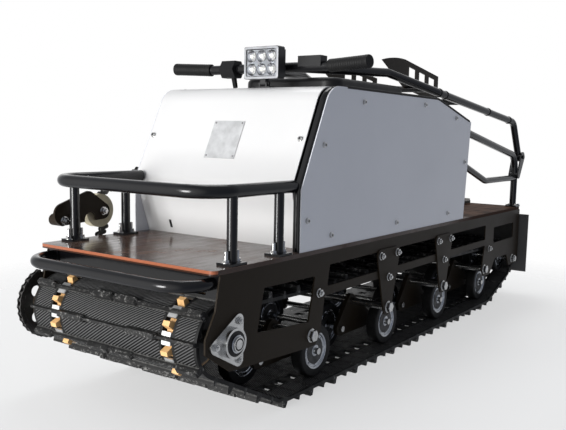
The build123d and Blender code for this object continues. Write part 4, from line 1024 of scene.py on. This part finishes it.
class TUG_OT_lamp(bpy.types.Operator):
    """Set the lamp's backing, bezel, six chips and their reflectors"""
    bl_idname = "snow_tug.lamp"
    bl_label = "Lamp"

    def execute(self, context):
        chip_y, backing_y, bezel_y = LAMP_FACE_Y + 3.9, LAMP_FACE_Y + 4.2, LAMP_FACE_Y - 0.5
        chip_h, chip_r = 2.6, 5.2
        rows = [((LAMP_X + dx, chip_y, LAMP_MIDDLE_Z + dz), (0.0, -1.0, 0.0))
                for dx in (-31.0, 0.0, 31.0) for dz in (-16.0, 16.0)]
        # a dome (h sin a, r cos a) and a shallow bowl, turned about each chip's axis
        turn = np.linspace(0.0, math.pi / 2, 6)[::-1]
        dome = stacked(chip_h * np.sin(turn), chip_r * np.cos(turn))
        chips = placed(lathe(np.concatenate([dome, [(0.0, chip_r), (0.0, 0.0)]]), 20), rows)
        bowls = placed(lathe([(0.0, 5.4), (0.4, 7.0), (2.4, 14.0), (2.8, 14.6), (2.4, 15.0), (0.0, 15.0),
                              (0.0, 5.4)], 28), rows)
        backing = box_shape(1.0, 93.0, 65.0, 0.3).turned([REAR, LEFT, UP])
        put("lamp_backing", backing.moved((LAMP_X, backing_y, LAMP_MIDDLE_Z)), "lamp_metal", "lamp",
            moulded("lamp backing", (0.70, 0.71, 0.74), 0.25))
        put("lamp_bezel", bezel_ring().moved((LAMP_X, bezel_y, LAMP_MIDDLE_Z)), "lamp_metal", "lamp",
            moulded("lamp bezel", (0.48, 0.49, 0.51), 0.25))
        put("lamp_chips", chips, "lamp_glass", "lamp", lamp_chip())
        put("lamp_reflectors", bowls, "lamp_metal", "lamp",
            plated("lamp reflector", (0.66, 0.67, 0.70), 0.06))
        return {"FINISHED"}


class TUG_OT_stem_ties(bpy.types.Operator):
    """Band the ties round the handlebar's stems"""
    bl_idname = "snow_tug.stem_ties"
    bl_label = "Stem ties"

    def execute(self, context):
        half, inner, outer = 2.5, 12.6, 14.2
        band = lathe([(-half, inner), (-half, outer), (half, outer), (half, inner), (-half, inner)], 24)
        start, end = np.array(STEM_LINE)
        step = end - start
        places = [start + step * (y - start[1]) / step[1] for y in (1118.0, 1160.0, 1490.0, 1680.0)]
        put("stem_ties", placed(band, both_sides(places, step)), "control_plastic", "handlebar")
        return {"FINISHED"}


class TUG_OT_cowl_trim(bpy.types.Operator):
    """Set the bare plates, the slot as a black box of painted shade, and the edge strips on the cowl and
    under the deck's edge
    """
    bl_idname = "snow_tug.cowl_trim"
    bl_label = "Cowl trim"

    def execute(self, context):
        middle, matrix = sheet_frame(COWL_KNEE, COWL_BROW, -2.0, 600.0)
        out, across, up = matrix
        thickness, width, height, edge = 1.6, 96.0, 100.0, 0.5
        plate_lift, rivet_lift, slot_lift = 0.9, 1.7, 0.3
        plate = scatter(box_shape(thickness, width, height, edge), [middle + out * plate_lift], [matrix])
        put("blank_plate", plate, "zinc_steel", finish=moulded("blank plate", (0.60, 0.605, 0.61), 0.30))
        rivet_x, rivet_z = 42.0, 44.0
        rivet = lathe([(0.0, 0.0), (0.0, 3.0), (0.9, 2.4), (1.3, 0.0)], 14)
        corners = [middle + out * rivet_lift + across * dx + up * dz
                   for dx in (-rivet_x, rivet_x) for dz in (-rivet_z, rivet_z)]
        put("blank_plate_rivets", scatter(rivet, corners, [matrix] * len(corners)), "zinc_steel")
        # Painted shade: a thin black box on the sheet stands for the dark inside of the slot
        spot, matrix = sheet_frame(COWL_FOOT, COWL_KNEE, -172.0, 380.0)
        slot = scatter(box_shape(1.0, 8.0, 22.0, 0.4), [spot + matrix[0] * slot_lift], [matrix])
        put("cowl_slot_painted_shade", slot, "control_plastic")
        strip_r = 3.6
        sheet_low, sheet_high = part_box("cowl_side_left")
        strip_x, strip_z = (sheet_low[0] + sheet_high[0]) / 2 / MM, sheet_high[2] / MM
        line = ((470.0, 0.0), (985.0, 0.0), (1000.0, 2.5), (1238.0, 59.0))
        strips = [tube([(side * strip_x, y, strip_z - drop) for y, drop in line], strip_r, 10)
                  for side in (1.0, -1.0)]
        put("cowl_edge_strips", join(strips), "grip_rubber")
        apron_h, apron_t, apron_y, apron_inset = 40.0, 2.0, 23.0, 40.0
        apron = box_shape(2 * (HALF_DECK - apron_inset), apron_t, apron_h, 0.5)
        put("front_apron", apron.moved((0.0, apron_y, DECK_LOW[2] / MM - apron_h / 2)), "black_tube")
        return {"FINISHED"}


def studio_sky(tree):
    """A soft sky: white behind the machine as the camera sees it, bright in front, dim on the near side."""
    sky = Shader(None, tree)
    way = sky.add("ShaderNodeTexCoord", output="Generated")
    x, y, z = sky.axes(way)
    behind = sky.limit(y * 0.82 - x * 0.56, 0.62, 0.88)
    near = sky.limit(x * 0.9 - y * 0.44, -0.1, 0.6)
    room = sky.mix(near, (0.50, 0.51, 0.53), (0.20, 0.22, 0.27))
    room = sky.mix(sky.limit(z, 0.3, 0.85), room, (0.28, 0.29, 0.31))
    front = sky.limit(0.0 - y - 0.25 * x, 0.5, 0.85)
    lit = sky.mix(front, room, (0.9, 0.9, 0.9))
    sky.feed(tree.nodes["Background"].inputs["Color"], sky.mix(behind, lit, (1.0, 1.0, 1.0)))


def floor_finish():
    """Pale floor that fades into the sky away from the machine."""
    shader = Shader("floor")
    x, y, _ = shader.axes(shader.place())
    fade = shader.limit(x * x + y * y, 0.7, 3.2)
    return shader.look(Base_Color=(0.90, 0.90, 0.90), Roughness=0.85, Emission_Color=(1.0, 1.0, 1.0),
                       Emission_Strength=0.1, Alpha=0.5 - 0.5 * fade)


class TUG_OT_stage(bpy.types.Operator):
    """Set the floor, the soft lights and the camera"""
    bl_idname = "snow_tug.stage"
    bl_label = "Stage"

    def execute(self, context):
        _, sizes = settings()
        scene = context.scene
        reach = 40.0
        corners = [(x * reach, y * reach, 0.0) for x, y in ((-1, -1), (1, -1), (1, 1), (-1, 1))]
        floor_mesh = bpy.data.meshes.new("floor")
        floor_mesh.from_pydata(corners, [], [(0, 1, 2, 3)])
        floor_mesh.materials.append(floor_finish())
        floor = new_object("floor", floor_mesh)
        for name, place, target, size, spread, share in SOFT_BOXES:
            data = bpy.data.lights.new(name, "AREA")
            data.size = size
            data.spread = math.radians(spread)
            data.energy = sizes.light * share
            light = new_object(name, data)
            light.location = place
            light.rotation_euler = (Vector(target) - Vector(place)).to_track_quat("-Z", "Y").to_euler()
        world = bpy.data.worlds.new("studio")
        world.use_nodes = True
        studio_sky(world.node_tree)
        scene.world = world
        scene.view_settings.view_transform = "Standard"
        camera_data = bpy.data.cameras.new("camera")
        camera_data.sensor_width = SENSOR
        camera_data.lens = FOCAL_PIXELS / IMAGE_SIZE[0] * SENSOR
        camera_data.shift_x = (IMAGE_SIZE[0] / 2 - MIDDLE_PIXEL[0]) / IMAGE_SIZE[0]
        camera_data.shift_y = (MIDDLE_PIXEL[1] - IMAGE_SIZE[1] / 2) / IMAGE_SIZE[0]
        camera_data.clip_end = 200.0
        scene.camera = new_object("camera", camera_data)
        turns = ((CAMERA_YAW, "Z"), (math.pi / 2 - CAMERA_PITCH, "X"), (CAMERA_ROLL, "Z"))
        pose = Matrix.Translation(Vector(np.array(CAMERA_PLACE) * MM + ORIGIN))
        for angle, axis in turns:
            pose @= Matrix.Rotation(angle, 4, axis)
        scene.camera.matrix_world = pose
        return {"FINISHED"}


class TUG_PT_panel(bpy.types.Panel):
    """Lists the steps in the sidebar"""
    bl_label = "Snow tug"
    bl_idname = "TUG_PT_panel"
    bl_space_type = "VIEW_3D"
    bl_region_type = "UI"
    bl_category = "Snow tug"

    def draw(self, context):
        for step in STEPS:
            self.layout.operator(step.bl_idname)


STEPS = (TUG_OT_finishes, TUG_OT_track, TUG_OT_wheels, TUG_OT_chain, TUG_OT_bolts, TUG_OT_grips,
         TUG_OT_lamp, TUG_OT_stem_ties, TUG_OT_cowl_trim, TUG_OT_stage)
GROUPS = (SnowTugColours, SnowTugSizes)


def register():
    for cls in (*GROUPS, *STEPS, TUG_PT_panel):
        bpy.utils.register_class(cls)
    bpy.types.Scene.snow_tug_colours = bpy.props.PointerProperty(type=SnowTugColours)
    bpy.types.Scene.snow_tug_sizes = bpy.props.PointerProperty(type=SnowTugSizes)


def unregister():
    del bpy.types.Scene.snow_tug_sizes
    del bpy.types.Scene.snow_tug_colours
    for cls in reversed((*GROUPS, *STEPS, TUG_PT_panel)):
        bpy.utils.unregister_class(cls)


def main():
    register()
    for step in STEPS:
        group, name = step.bl_idname.split(".")
        getattr(getattr(bpy.ops, group), name)()


if __name__ == "__main__":
    main()
